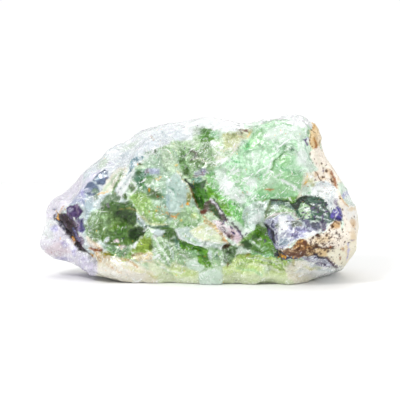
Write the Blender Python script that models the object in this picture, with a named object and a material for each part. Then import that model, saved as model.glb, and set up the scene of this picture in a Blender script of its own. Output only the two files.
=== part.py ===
"""Rough alexandrite: one broken lump of green crystal, 60 mm long, as it was found.

The lump grew and broke as one piece, so it is one solid. X runs along its length, the
face worth showing looks along -Y, and it rests on a flat cleavage face at Z = 0.

The order of work is a stonecutter's. A blank is cut to the outline of the front view and
rounded in depth, and big flat breaks are taken off it. Half-buried grains roughen it.
Hollows are cut out of it, the crystals, knobs and shards that stand proud are fused on,
and chips and trims are broken off. Its whole skin is then broken into flat faces and
shallow scoops, and it is cut off level where it rests.
"""

import math
from dataclasses import dataclass

import bmesh
import bpy
import numpy as np
from mathutils import Euler, Matrix, Vector, kdtree

MM = 0.001

# Depth of the blank: how far the front and the back stand from the middle plane.
FRONT_DEPTH = 9.5 * MM
BACK_DEPTH = 10.5 * MM
TIP_DEPTH_SHARE = 0.68
EDGE_ROUNDING = 12.0 * MM
BASE_HALF_DEPTH = 6.5 * MM
RIM_HALF_DEPTH = 2.0 * MM
RIM_STARTS_AT = 13.0 * MM
LEAN_BACK = 0.12
LEAN_PIVOT_HEIGHT = 12.0 * MM
TIP_X = -30.0 * MM
TIP_ENDS_X = -8.0 * MM

# Mesh sizes.
BLANK_VOXEL = 0.7 * MM
STONE_VOXEL = 0.5 * MM
SKIN_VOXEL = 0.3 * MM
TRIANGLES = 9000
BLOCK_SIZE = 100.0 * MM

# The flat face that it rests on.
REST_HEIGHT = 1.3 * MM

# The outline of the front view, clockwise from the left tip, as (x, z) in millimetres.
OUTLINE_MM = (
    (-30.0, 6.4), (-29.2, 8.6), (-27.7, 9.8), (-29.4, 11.4), (-28.1, 14.3), (-25.8, 16.5),
    (-22.6, 19.8), (-19.8, 22.3), (-18.0, 24.1), (-15.6, 25.8), (-12.8, 27.5), (-10.2, 28.5),
    (-8.5, 29.7), (-5.7, 30.0), (-2.8, 29.6), (-1.1, 30.8), (0.6, 31.1), (3.0, 30.7),
    (6.0, 30.1), (7.9, 29.4), (10.6, 29.6), (12.1, 30.4), (15.1, 31.1), (18.1, 31.2),
    (20.3, 30.6), (22.2, 29.4), (22.5, 27.8), (21.6, 25.8), (22.2, 23.9), (23.6, 21.8),
    (25.2, 19.7), (26.9, 18.0), (28.2, 16.6), (29.2, 14.8), (29.5, 11.8), (29.2, 8.4),
    (28.7, 6.0), (27.4, 4.0), (25.7, 2.3), (22.6, 1.2), (18.0, 0.0), (-14.0, 0.0),
    (-18.5, 1.4), (-22.0, 2.8), (-23.6, 4.2), (-26.4, 5.0), (-28.7, 5.4),
)


@dataclass(frozen=True)
class Lump:
    """A crystal, knob or hollow: an egg shape cut flat by broken faces.

    centre and half are in millimetres, and turn in degrees about X, Y and Z. flats are
    the faces that show in the photograph, each a direction and how far out it lies, as a
    share of the half size. cuts more faces lie at random, down to cut_depth inside it.
    """

    name: str
    centre: tuple
    half: tuple
    turn: tuple = (0.0, 0.0, 0.0)
    flats: tuple = ()
    cuts: int = 14
    cut_depth: float = 0.30
    seed: int = 1


# Hollows that are broken out of the body.
HOLLOWS = (
    Lump("upper_groove", (-0.6, -11.2, 24.6), (2.2, 4.4, 8.4), (0, -24, 0), (), 8, 0.2, 5),
    Lump("lower_groove", (4.4, -13.6, 15.4), (2.3, 5.6, 8.6), (0, -41, 0), (), 8, 0.2, 7),
    Lump("green_window", (1.4, -8.2, 27.6), (2.5, 3.6, 1.9), (0, 10, 0), (), 8, 0.2, 9),
    Lump("under_knob", (11.6, -14.0, 6.6), (3.8, 5.6, 7.0), (0, -33, 0), (), 8, 0.2, 11),
    Lump("crescent", (-0.8, -13.6, 5.4), (4.6, 4.2, 1.7), (0, 36, 0), (), 8, 0.2, 13),
    Lump("top_saddle", (7.4, -10.6, 31.4), (4.0, 6.0, 2.0), (0, 8, 0), (), 8, 0.2, 16),
    Lump("right_neck", (26.2, 2.0, 25.4), (3.6, 16.0, 5.0), (0, -30, 0), (), 6, 0.1, 18),
    Lump("back_scoop", (-4.0, 13.6, 15.0), (11.0, 4.2, 8.0), (0, 20, 0), (), 10, 0.2, 17),
    Lump("back_notch", (15.0, 14.4, 20.0), (7.0, 4.6, 5.0), (0, -25, 0), (), 10, 0.2, 19),
)

# Chips that are broken out of the finished body: the round bowl, and two at its lower edge.
CHIPS = (
    Lump("green_bowl", (-15.2, -10.6, 11.2), (6.4, 5.0, 5.4), (0, -20, 0), (), 4, 0.08, 3),
    Lump("left_chip", (12.6, -11.4, 0.9), (3.4, 4.4, 1.8), (0, -8, 0), (), 8, 0.2, 75),
    Lump("right_chip", (21.9, -9.4, 1.2), (2.8, 4.4, 1.8), (0, 14, 0), (), 8, 0.2, 77),
)

FRONT = (0.0, -1.0, 0.0)
FRONT_UP = (0.0, -0.93, 0.36)
FRONT_UP_LEFT = (-0.38, -0.84, 0.38)
FRONT_DOWN = (0.0, -0.86, -0.50)
FRONT_DOWN_RIGHT = (0.30, -0.80, -0.52)
FRONT_RIGHT = (0.55, -0.83, 0.10)
SIDE = (1.0, -0.2, 0.0)

# What stands proud of the body, in the order of the front view from left to right.
LUMPS = (
    Lump("lilac_tip", (-25.6, -0.2, 7.3), (4.5, 5.0, 3.2), (0, 12, 0), ((FRONT_DOWN, 0.74),), 8, 0.2, 21),
    Lump("tip_crest", (-25.9, 0.4, 12.0), (3.3, 4.0, 4.0), (0, -20, 0),
         ((FRONT_UP_LEFT, 0.74),), 7, 0.16, 22),
    Lump("dark_tip", (-23.4, -3.4, 11.8), (2.4, 3.2, 5.6), (0, -38, 0),
         ((FRONT_UP_LEFT, 0.66),), 14, 0.34, 23),
    Lump("slate_window", (-18.6, -3.6, 15.2), (4.6, 3.6, 4.8), (0, 30, 0),
         ((FRONT_UP_LEFT, 0.7),), 8, 0.2, 24),
    Lump("left_shoulder", (-18.8, -1.4, 18.0), (3.8, 4.0, 5.4), (0, 44, 0),
         ((FRONT_UP_LEFT, 0.72),), 16, 0.34, 25),
    Lump("white_blade", (-14.4, -4.0, 20.4), (1.3, 3.4, 5.2), (0, 40, 0), ((FRONT, 0.80),), 16, 0.34, 27),
    Lump("teal_face", (-11.6, -4.2, 18.8), (4.6, 3.4, 4.2), (0, 34, 0), ((FRONT, 0.76),), 14, 0.30, 28),
    Lump("centre_lump", (-5.2, -5.9, 15.8), (8.2, 5.0, 7.2), (0, 20, 0),
         ((FRONT, 0.80), (FRONT_RIGHT, 0.78), (FRONT_UP_LEFT, 0.78)), 18, 0.30, 29),
    Lump("centre_crown", (-7.0, -3.6, 23.6), (6.6, 4.2, 4.4), (0, 12, 0),
         ((FRONT_UP, 0.78),), 18, 0.34, 31),
    Lump("cream_foot", (-14.4, -5.6, 3.9), (7.6, 4.4, 3.0), (0, -14, 0),
         ((FRONT_DOWN, 0.8), (FRONT_UP, 0.75)), 8, 0.2, 32),
    Lump("streaky_shard", (-8.0, -9.0, 7.4), (2.3, 3.0, 4.6), (0, -32, 0),
         ((FRONT_RIGHT, 0.6),), 18, 0.36, 33),
    Lump("pale_wedge", (0.8, -9.6, 8.4), (6.2, 3.4, 2.2), (0, 16, 0),
         ((FRONT_UP, 0.62), (FRONT_DOWN, 0.70)), 14, 0.34, 35),
    Lump("round_bead", (2.9, -9.8, 4.6), (2.1, 2.4, 2.2), (0, 0, 0), (), 7, 0.16, 37),
    Lump("low_block", (1.4, -8.4, 1.5), (2.6, 2.4, 1.6), (0, 0, 0), ((FRONT, 0.8),), 12, 0.36, 39),
    Lump("fin", (5.2, -8.6, 14.6), (0.8, 3.0, 5.2), (0, -41, 0), (), 12, 0.30, 41),
    Lump("upper_mass", (4.6, -4.2, 24.6), (5.4, 3.8, 5.2), (0, 30, 0), ((FRONT_UP, 0.74),), 18, 0.34, 43),
    Lump("green_mass", (13.0, -4.9, 19.2), (9.4, 5.2, 8.6), (0, -24, 0),
         ((FRONT, 0.80), (FRONT_UP, 0.80), (FRONT_DOWN, 0.84)), 16, 0.26, 45),
    Lump("green_brow", (16.0, -3.2, 26.2), (6.4, 4.4, 4.6), (0, 6, 0),
         ((FRONT_UP, 0.74), (FRONT, 0.84)), 14, 0.30, 47),
    Lump("low_slab", (10.6, -8.2, 3.2), (9.8, 3.6, 2.8), (0, 14, 0),
         ((FRONT_UP, 0.70), (FRONT_DOWN, 0.74)), 16, 0.34, 49),
    Lump("knob_body", (19.4, -9.6, 9.0), (8.8, 6.6, 5.6), (0, -8, 0),
         ((FRONT_UP, 0.78), (FRONT_DOWN_RIGHT, 0.64), ((-0.8, -0.2, -0.55), 0.78),
          ((-0.80, -0.5, 0.1), 0.78), ((0.1, -0.1, -1.0), 0.8)), 3, 0.10, 51),
    Lump("knob_left_crystal", (14.9, -9.3, 13.2), (4.4, 4.2, 3.4), (0, 6, 0),
         (((0.0, -0.80, 0.60), 0.62), ((0.0, -0.1, 1.0), 0.70), ((0.8, -0.5, 0.35), 0.66),
          ((-0.85, -0.35, 0.35), 0.68)), 2, 0.16, 53),
    Lump("knob_right_crystal", (20.8, -9.2, 13.6), (5.0, 4.4, 4.0), (0, -12, 0),
         (((-0.25, -0.85, 0.45), 0.62), ((0.35, -0.3, 0.9), 0.68), ((-0.7, -0.2, 0.65), 0.68),
          ((0.75, -0.6, 0.25), 0.68)), 2, 0.16, 55),
    Lump("clear_crystal", (23.8, -6.6, 15.8), (3.3, 3.4, 3.6), (0, 30, 0),
         ((FRONT_UP_LEFT, 0.74),), 14, 0.32, 57),
    Lump("rind_top", (21.4, -1.4, 26.2), (1.5, 5.0, 3.4), (0, 8, 0), ((SIDE, 0.6),), 12, 0.34, 59),
    Lump("rind_middle", (23.7, -1.4, 21.4), (1.5, 5.4, 5.4), (0, -33, 0), ((SIDE, 0.6),), 12, 0.34, 61),
    Lump("rind_low", (27.0, -1.6, 10.6), (2.6, 6.4, 6.6), (0, 4, 0),
         ((SIDE, 0.7), (FRONT_RIGHT, 0.7)), 14, 0.34, 63),
    Lump("right_foot", (23.6, -7.2, 3.6), (4.2, 3.8, 2.6), (0, 30, 0), ((FRONT_DOWN, 0.7),), 8, 0.2, 65),
    Lump("back_left", (-15.0, 6.0, 13.0), (8.0, 4.6, 6.0), (0, 30, 0), (), 20, 0.36, 67),
    Lump("back_middle", (1.0, 8.4, 8.0), (9.0, 4.6, 5.6), (0, -8, 0), (), 22, 0.36, 69),
    Lump("back_right", (18.0, 7.4, 10.0), (8.0, 4.6, 6.4), (0, 12, 0), (), 22, 0.36, 71),
    Lump("back_crest", (9.0, 6.4, 22.4), (8.0, 4.0, 5.0), (0, 10, 0), (), 20, 0.36, 73),
)


@dataclass(frozen=True)
class BigBreak:
    """A flat break across the whole blank: the way it faces, and how deep it cut in."""

    facing: tuple
    depth_mm: float


BIG_BREAKS = (
    BigBreak((-0.55, -1.0, 0.55), 3.0),
    BigBreak((-0.15, -1.0, 0.75), 2.6),
    BigBreak((-0.75, -1.0, -0.25), 2.4),
    BigBreak((0.30, -1.0, 0.45), 1.6),
    BigBreak((0.70, -1.0, 0.20), 2.0),
    BigBreak((0.05, -1.0, -0.18), 0.7),
    BigBreak((-0.40, 1.0, 0.35), 2.6),
    BigBreak((0.45, 1.0, 0.30), 2.4),
    BigBreak((-0.10, 1.0, 0.90), 2.8),
    BigBreak((0.15, 1.0, -0.25), 1.6),
    BigBreak((-0.80, 1.0, -0.10), 2.4),
)


# Flat breaks that trim the underside of the tip and of the right end: a point on each, in
# millimetres, and the way that it faces.
TRIMS = (
    ((-24.0, 0.0, 3.9), (-0.30, -0.10, -1.0)),
    ((26.0, 0.0, 2.6), (0.55, -0.25, -1.0)),
)


@dataclass(frozen=True)
class Grains:
    """Half-buried crystals spread over the whole skin.

    half_mm is the range of their half sizes, and proud_mm how far they stand out.
    """

    count: int
    half_mm: tuple
    proud_mm: tuple
    cuts: int
    seed: int


GRAINS = (
    Grains(64, (4.0, 7.0), (0.3, 0.8), 12, 201),
    Grains(60, (2.0, 3.6), (0.2, 0.5), 10, 203),
)
GRAIN_CUT_DEPTH = 0.36

# How far inside the outline a grain has its full size, and the smallest share of it.
GRAIN_ROOM = 8.0 * MM
SMALLEST_GRAIN = 0.3


@dataclass(frozen=True)
class FlatFaces:
    """Flat broken faces over the whole skin.

    turn_weight_mm is how far apart two points count for facing opposite ways. share is how
    much of the way to its flat face the skin is pressed, and at most limit_mm.
    """

    spacing_mm: float
    turn_weight_mm: float
    share: float
    limit_mm: float
    seed: int


FLAT_FACES = (
    FlatFaces(3.8, 5.0, 0.80, 0.50, 301),
    FlatFaces(2.0, 2.6, 0.75, 0.25, 303),
)


@dataclass(frozen=True)
class Scoops:
    """Shallow tilted scoops with sharp ridges between them, as glassy stone breaks.

    tilt and hollow shape each scoop, and refill_mm gives back the skin that they take.
    """

    spacing_mm: float
    tilt: float
    hollow: float
    refill_mm: float
    seed: int


SCOOPS = (
    Scoops(6.0, 0.05, 0.006, 0.28, 101),
    Scoops(2.6, 0.06, 0.016, 0.15, 103),
)

# How many of the nearest scoops may shape a point of the skin.
NEIGHBOURS = 7


def smooth_step(low, high, value):
    """0 below low, 1 above high, and smooth between them."""
    t = np.clip((value - low) / (high - low), 0.0, 1.0)
    return t * t * (3.0 - 2.0 * t)


def points_of(mesh):
    """The vertices of a mesh as rows of x, y and z."""
    points = np.empty(len(mesh.vertices) * 3)
    mesh.vertices.foreach_get("co", points)
    return points.reshape(-1, 3)


def normals_of(mesh):
    """The vertex normals of a mesh as rows of x, y and z."""
    normals = np.empty(len(mesh.vertices) * 3)
    mesh.vertex_normals.foreach_get("vector", normals)
    return normals.reshape(-1, 3)


def move_points(mesh, points):
    """Puts the vertices of a mesh at these rows of x, y and z."""
    mesh.vertices.foreach_set("co", points.ravel())
    mesh.update()


def distance_to_outline(points, outline):
    """How far each point lies from the outline, seen from the front."""
    flat = points[:, [0, 2]]
    nearest = np.full(len(flat), np.inf)
    for start, end in zip(outline, np.roll(outline, -1, axis=0)):
        along = end - start
        share = np.clip((flat - start) @ along / (along @ along), 0.0, 1.0)
        gap = np.linalg.norm(flat - (start + share[:, None] * along), axis=1)
        nearest = np.minimum(nearest, gap)
    return nearest


def unit(direction):
    """This direction with a length of one."""
    return np.asarray(direction, float) / np.linalg.norm(direction)


def cut_flat(bm, place, facing):
    """Breaks off what lies beyond a plane, and closes the cut with a flat face."""
    cut = bmesh.ops.bisect_plane(
        bm,
        geom=bm.verts[:] + bm.edges[:] + bm.faces[:],
        plane_co=place,
        plane_no=facing,
        clear_outer=True,
    )["geom_cut"]
    edges = [edge for edge in cut if isinstance(edge, bmesh.types.BMEdge)]
    bmesh.ops.triangle_fill(bm, edges=edges, use_beauty=True, normal=facing)


def new_object(name, mesh):
    """Links a new object that holds this mesh."""
    made = bpy.data.objects.new(name, mesh)
    bpy.context.scene.collection.objects.link(made)
    return made


def evaluated_mesh(item):
    """A copy of the object's mesh with its modifiers applied."""
    graph = bpy.context.evaluated_depsgraph_get()
    return bpy.data.meshes.new_from_object(item.evaluated_get(graph))


def bake_modifiers(item):
    """Replaces the object's mesh by what its modifiers make of it."""
    done = evaluated_mesh(item)
    item.modifiers.clear()
    item.data = done


def remesh(item, voxel):
    """Turns the object's shells into one even skin."""
    modifier = item.modifiers.new("Even skin", "REMESH")
    modifier.mode = "VOXEL"
    modifier.voxel_size = voxel
    bake_modifiers(item)


def outlined_slab():
    """A slab as thick as the stone, cut to its outline."""
    half_depth = max(FRONT_DEPTH, BACK_DEPTH)
    bm = bmesh.new()
    corners = [bm.verts.new((x * MM, -half_depth, z * MM)) for x, z in OUTLINE_MM]
    bm.faces.new(corners)
    side = bmesh.ops.extrude_face_region(bm, geom=bm.faces[:])["geom"]
    moved = [v for v in side if isinstance(v, bmesh.types.BMVert)]
    bmesh.ops.translate(bm, vec=(0.0, 2.0 * half_depth, 0.0), verts=moved)
    bmesh.ops.recalc_face_normals(bm, faces=bm.faces[:])
    mesh = bpy.data.meshes.new("slab")
    bm.to_mesh(mesh)
    bm.free()
    return new_object("slab", mesh)


def rounded_blank():
    """The slab rounded in depth: thin at its upper rim and its tip, broad where it rests."""
    blank = outlined_slab()
    remesh(blank, BLANK_VOXEL)
    points = points_of(blank.data)
    x, y, z = points.T
    inside = distance_to_outline(points, np.array(OUTLINE_MM) * MM)
    dome = np.sqrt(1.0 - (1.0 - np.clip(inside / EDGE_ROUNDING, 0.0, 1.0)) ** 2)
    share = TIP_DEPTH_SHARE + (1.0 - TIP_DEPTH_SHARE) * smooth_step(TIP_X, TIP_ENDS_X, x)
    to_rim = smooth_step(0.0, RIM_STARTS_AT, z)
    rim = (BASE_HALF_DEPTH + (RIM_HALF_DEPTH - BASE_HALF_DEPTH) * to_rim) * share
    depth = np.where(y < 0.0, FRONT_DEPTH, BACK_DEPTH) * share
    half = rim + (depth - rim) * dome
    points[:, 1] = y / max(FRONT_DEPTH, BACK_DEPTH) * half
    points[:, 1] += LEAN_BACK * (z - LEAN_PIVOT_HEIGHT)
    move_points(blank.data, points)
    return blank


def broken_ball(cuts, cut_depth, rng, subdivisions=3):
    """A ball one unit in radius, with flat broken faces all round."""
    bm = bmesh.new()
    bmesh.ops.create_icosphere(bm, subdivisions=subdivisions, radius=1.0)
    for _ in range(cuts):
        facing = unit(rng.normal(size=3))
        reach = 1.0 - cut_depth * (0.35 + 0.65 * rng.random())
        cut_flat(bm, facing * reach, facing)
    return bm


def lump_mesh(lump):
    """The mesh of one lump: a ball with flat broken faces, scaled, turned and put in place."""
    bm = broken_ball(lump.cuts, lump.cut_depth, np.random.default_rng(lump.seed))
    for facing, reach in lump.flats:
        cut_flat(bm, unit(facing) * reach, unit(facing))
    angles = Euler([math.radians(a) for a in lump.turn])
    size = Matrix.Diagonal((*lump.half, 1.0))
    place = Matrix.Translation(Vector(lump.centre) * MM)
    bm.transform(place @ angles.to_matrix().to_4x4() @ Matrix.Scale(MM, 4) @ size)
    mesh = bpy.data.meshes.new(lump.name)
    bm.to_mesh(mesh)
    bm.free()
    return mesh


def break_blank(blank):
    """Takes the big flat breaks off the blank."""
    bm = bmesh.new()
    bm.from_mesh(blank.data)
    for big in BIG_BREAKS:
        facing = unit(big.facing)
        reach = max(vert.co @ Vector(facing) for vert in bm.verts)
        cut_flat(bm, facing * (reach - big.depth_mm * MM), facing)
    bm.to_mesh(blank.data)
    bm.free()


def take_away(body, cutter):
    """Cuts the cutter's shape out of the body, and removes the cutter."""
    modifier = body.modifiers.new("Cut", "BOOLEAN")
    modifier.operation = "DIFFERENCE"
    modifier.solver = "EXACT"
    modifier.object = cutter
    bake_modifiers(body)
    bpy.data.objects.remove(cutter)


def cut_hollows(body, hollows):
    """Breaks these hollows out of the body."""
    for hollow in hollows:
        take_away(body, new_object(hollow.name, lump_mesh(hollow)))


def grain_meshes(skin, grains):
    """Broken crystals, sunk in the skin so that only their caps stand proud.

    They are smaller near the outline, where the stone is too thin to hold a large one.
    """
    rng = np.random.default_rng(grains.seed)
    points = points_of(skin)
    normals = normals_of(skin)
    inside = distance_to_outline(points, np.array(OUTLINE_MM) * MM)
    room = np.clip(inside / GRAIN_ROOM, SMALLEST_GRAIN, 1.0)
    chosen = rng.choice(len(points), grains.count, replace=False)
    for index in chosen:
        bm = broken_ball(grains.cuts, GRAIN_CUT_DEPTH, rng, subdivisions=2)
        half = rng.uniform(*grains.half_mm, size=3) * MM * room[index]
        proud = rng.uniform(*grains.proud_mm) * MM
        turn = Euler(rng.uniform(0.0, math.tau, 3)).to_matrix().to_4x4()
        bm.transform(turn @ Matrix.Diagonal((*half, 1.0)))
        reach = max(vert.co @ Vector(normals[index]) for vert in bm.verts)
        centre = points[index] - normals[index] * (reach - proud)
        bmesh.ops.translate(bm, vec=centre, verts=bm.verts[:])
        mesh = bpy.data.meshes.new("grain")
        bm.to_mesh(mesh)
        bm.free()
        yield mesh


def fuse(body, meshes, voxel):
    """Joins these shells to the body and gives all of them one even skin."""
    bm = bmesh.new()
    bm.from_mesh(body.data)
    for mesh in meshes:
        bm.from_mesh(mesh)
    bm.to_mesh(body.data)
    bm.free()
    remesh(body, voxel)


def spread_over(points, spacing, rng):
    """The indices of points that lie at least this far apart, and cover the skin."""
    tree = kdtree.KDTree(len(points))
    for index, point in enumerate(points):
        tree.insert(point, index)
    tree.balance()
    free = np.ones(len(points), bool)
    chosen = []
    for index in rng.permutation(len(points)):
        if free[index]:
            chosen.append(int(index))
            for _, near, _ in tree.find_range(points[index], spacing):
                free[near] = False
    return chosen


def flatten_skin(mesh, faces):
    """Presses the skin towards flat faces, with ledges where one meets the next."""
    rng = np.random.default_rng(faces.seed)
    points = points_of(mesh)
    normals = normals_of(mesh)
    places = np.hstack([points, normals * faces.turn_weight_mm * MM / 2.0])
    nearest = np.full(len(points), np.inf)
    owner = np.zeros(len(points), int)
    for face, index in enumerate(spread_over(points, faces.spacing_mm * MM, rng)):
        gap = np.linalg.norm(places - places[index], axis=1)
        closer = gap < nearest
        nearest[closer] = gap[closer]
        owner[closer] = face
    limit = faces.limit_mm * MM
    for face in range(owner.max() + 1):
        members = owner == face
        facing = unit(normals[members].sum(axis=0))
        height = (points[members] - points[members].mean(axis=0)) @ facing
        points[members] -= np.clip(height * faces.share, -limit, limit)[:, None] * facing
    move_points(mesh, points)


def scoop_skin(mesh, scoops):
    """Moves the skin in and out by the lowest of the scoops near each point."""
    rng = np.random.default_rng(scoops.seed)
    points = points_of(mesh)
    normals = normals_of(mesh)
    spacing = scoops.spacing_mm * MM
    centres = points[spread_over(points, spacing, rng)]
    tilts = scoops.tilt * rng.normal(size=centres.shape)
    tree = kdtree.KDTree(len(centres))
    for index, centre in enumerate(centres):
        tree.insert(centre, index)
    tree.balance()
    for row, point in enumerate(points):
        lowest = min(
            float((point - centres[near]) @ tilts[near]) + scoops.hollow / MM * gap * gap
            for _, near, gap in tree.find_n(point, NEIGHBOURS)
        )
        points[row] += (lowest + scoops.refill_mm * MM) * normals[row]
    move_points(mesh, points)


def saw_off(item, place, facing):
    """Saws off what lies beyond a plane, with a block larger than the stone."""
    bm = bmesh.new()
    bmesh.ops.create_cube(bm, size=BLOCK_SIZE)
    bmesh.ops.translate(bm, vec=(0.0, 0.0, BLOCK_SIZE / 2.0), verts=bm.verts[:])
    turn = Vector(facing).to_track_quat("Z", "Y").to_matrix().to_4x4()
    bm.transform(Matrix.Translation(place) @ turn)
    mesh = bpy.data.meshes.new("block")
    bm.to_mesh(mesh)
    bm.free()
    take_away(item, new_object("block", mesh))


def cut_flat_base(item):
    """Saws the stone off level where it rests, and moves that face to Z = 0."""
    saw_off(item, (0.0, 0.0, REST_HEIGHT), (0.0, 0.0, -1.0))
    item.data.transform(Matrix.Translation((0.0, 0.0, -REST_HEIGHT)))


def thin_out(item, triangles):
    """Drops the points that the shape does without."""
    faces = sum(len(face.vertices) - 2 for face in item.data.polygons)
    modifier = item.modifiers.new("Thin out", "DECIMATE")
    modifier.ratio = triangles / faces
    bake_modifiers(item)


def crystal_material():
    """Milky green crystal, glossy where it broke."""
    made = bpy.data.materials.new("green_crystal")
    made.use_nodes = True
    shader = made.node_tree.nodes["Principled BSDF"]
    shader.inputs["Base Color"].default_value = (0.42, 0.68, 0.42, 1.0)
    shader.inputs["Roughness"].default_value = 0.3
    shader.inputs["Metallic"].default_value = 0.0
    return made


def main():
    for item in list(bpy.data.objects):
        bpy.data.objects.remove(item)
    stone = rounded_blank()
    break_blank(stone)
    for grains in GRAINS:
        fuse(stone, grain_meshes(stone.data, grains), BLANK_VOXEL)
    cut_hollows(stone, HOLLOWS)
    fuse(stone, map(lump_mesh, LUMPS), STONE_VOXEL)
    cut_hollows(stone, CHIPS)
    for place, facing in TRIMS:
        saw_off(stone, Vector(place) * MM, facing)
    remesh(stone, STONE_VOXEL)
    for faces in FLAT_FACES:
        flatten_skin(stone.data, faces)
    for scoops in SCOOPS:
        scoop_skin(stone.data, scoops)
    remesh(stone, SKIN_VOXEL)
    thin_out(stone, TRIANGLES)
    cut_flat_base(stone)
    stone.name = "rough_stone"
    stone.data.materials.append(crystal_material())


main()
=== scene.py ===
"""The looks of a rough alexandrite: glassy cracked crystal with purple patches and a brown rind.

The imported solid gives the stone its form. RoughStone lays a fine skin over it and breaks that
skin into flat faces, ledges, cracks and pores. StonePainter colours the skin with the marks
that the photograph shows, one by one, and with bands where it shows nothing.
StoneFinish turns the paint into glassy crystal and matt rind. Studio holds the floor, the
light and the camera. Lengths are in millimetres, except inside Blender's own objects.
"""

from __future__ import annotations

import logging
import math
from dataclasses import dataclass
from enum import Enum
from typing import Any, Iterable

import bmesh
import bpy
import numpy as np
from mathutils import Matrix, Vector, kdtree, noise

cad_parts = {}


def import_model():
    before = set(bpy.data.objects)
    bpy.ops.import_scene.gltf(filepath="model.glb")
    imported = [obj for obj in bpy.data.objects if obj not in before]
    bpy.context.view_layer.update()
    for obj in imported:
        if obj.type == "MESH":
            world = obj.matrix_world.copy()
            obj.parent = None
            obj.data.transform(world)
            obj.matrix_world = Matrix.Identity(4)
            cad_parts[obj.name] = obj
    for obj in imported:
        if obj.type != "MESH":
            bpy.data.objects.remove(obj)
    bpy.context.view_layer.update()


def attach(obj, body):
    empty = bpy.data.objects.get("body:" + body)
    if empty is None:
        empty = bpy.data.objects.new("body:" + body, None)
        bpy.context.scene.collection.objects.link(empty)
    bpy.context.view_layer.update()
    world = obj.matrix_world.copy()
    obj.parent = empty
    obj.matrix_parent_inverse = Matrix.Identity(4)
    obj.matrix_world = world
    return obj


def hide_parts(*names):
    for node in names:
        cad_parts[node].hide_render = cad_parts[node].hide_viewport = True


MM = 0.001
# Without a seed of its own, Blender's noise differs from run to run.
CLOUD_SEED = 4
log = logging.getLogger("rough_stone")

Triple = tuple[float, float, float]
Colour = tuple[float, float, float, float]
Pixel = tuple[float, float]


def triangle_count(mesh: bpy.types.Mesh) -> int:
    """How many triangles the mesh's faces make."""
    return sum(len(face.vertices) - 2 for face in mesh.polygons)


def smooth_step(low: float, high: float, value: np.ndarray) -> np.ndarray:
    """0 at low, 1 at high, and smooth between them."""
    t = np.clip((value - low) / (high - low), 0.0, 1.0)
    return t * t * (3.0 - 2.0 * t)


@dataclass(frozen=True)
class Cloud:
    """A smooth random field of vectors, up to about reach long each way.

    per_mm is how fine it is, and place tells one such field from another.
    """

    per_mm: float
    reach: float
    place: float

    def over(self, points: np.ndarray) -> np.ndarray:
        """The field's vector at each point."""
        noise.seed_set(CLOUD_SEED)
        shift = Vector((self.place, self.place * 1.7, self.place * 0.3))
        moved = (noise.noise_vector(Vector(p) * self.per_mm + shift) for p in points)
        flat = np.fromiter((v for n in moved for v in n), float, len(points) * 3)
        return flat.reshape(-1, 3) * self.reach


@dataclass(frozen=True)
class Ramp:
    """A smooth step: bottom where a value is below low, and top where it is above high."""

    low: float
    high: float
    bottom: float = 0.0
    top: float = 1.0


class Tint(Enum):
    """The colours of the stone, as the eye reads them, in sRGB bytes."""

    SNOW = (246, 249, 249)
    FROST = (223, 229, 234)
    ICE = (212, 224, 224)
    PALE_BLUE = (186, 202, 208)
    SLATE = (104, 120, 148)
    SLATE_VIOLET = (94, 90, 130)
    TEAL_GREY = (138, 168, 178)
    TEAL_DARK = (84, 122, 136)
    TEAL_WHITE = (200, 216, 208)
    SEA_MIST = (180, 204, 182)
    SEA_PALE = (190, 210, 202)
    TEAL_GREEN = (112, 160, 136)
    LILAC_WHITE = (214, 210, 230)
    LAVENDER = (178, 174, 220)
    PALE_VIOLET = (186, 188, 206)
    ROSE = (226, 210, 216)
    MAUVE = (158, 140, 164)
    MAUVE_BROWN = (112, 84, 90)
    AMETHYST = (90, 70, 116)
    VIOLET = (96, 90, 148)
    BLUE_VIOLET = (92, 76, 172)
    INDIGO = (42, 30, 98)
    INK_VIOLET = (40, 32, 62)
    PLUM = (52, 26, 38)
    AUBERGINE = (84, 54, 78)
    SLATE_BLUE = (116, 124, 172)
    NAVY = (58, 58, 98)
    LILAC_SNOW = (234, 231, 240)
    CREAM_WHITE = (240, 236, 218)
    INK = (18, 14, 18)
    PETROL = (64, 106, 84)
    PETROL_PALE = (120, 162, 142)
    INK_GREEN = (22, 44, 32)
    PINE = (48, 84, 66)
    GREY_GREEN = (132, 156, 126)
    SMOKE = (124, 134, 116)
    CELADON = (170, 200, 158)
    CELADON_PALE = (200, 220, 190)
    MOSS = (88, 124, 64)
    MOSS_BRIGHT = (96, 150, 62)
    BOTTLE = (98, 132, 64)
    HAZE_GREEN = (136, 164, 118)
    DEEP_BOTTLE = (40, 72, 18)
    LEAF = (90, 148, 54)
    LEAF_DARK = (46, 96, 20)
    VIVID = (114, 170, 54)
    SPRING = (128, 196, 112)
    VIVID_SOFT = (118, 164, 74)
    MINT = (190, 224, 192)
    MINT_MEDIUM = (176, 218, 172)
    MINT_DEEP = (132, 198, 142)
    MINT_WHITE = (222, 238, 224)
    YELLOW_GREEN = (154, 190, 84)
    LIME = (186, 212, 130)
    LIME_PALE = (210, 226, 164)
    LIME_WHITE = (226, 234, 204)
    OLIVE = (150, 176, 72)
    OLIVE_DARK = (84, 106, 40)
    OLIVE_GOLD = (158, 156, 54)
    STRAW = (222, 220, 168)
    CREAM = (228, 220, 192)
    GOLD = (248, 200, 60)
    ORANGE = (250, 180, 0)
    RUST = (156, 90, 26)
    RUST_DARK = (116, 46, 18)
    COCOA = (92, 62, 46)
    COCOA_ROSE = (140, 104, 86)
    TAN = (206, 166, 106)
    SAND = (228, 206, 166)
    BEIGE = (248, 240, 228)

    @property
    def linear(self) -> Colour:
        """The tint as the linear colour that a shader takes."""
        shares = [byte / 255.0 for byte in self.value]
        bent = [s / 12.92 if s <= 0.04045 else ((s + 0.055) / 1.055) ** 2.4 for s in shares]
        return (bent[0], bent[1], bent[2], 1.0)


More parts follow.
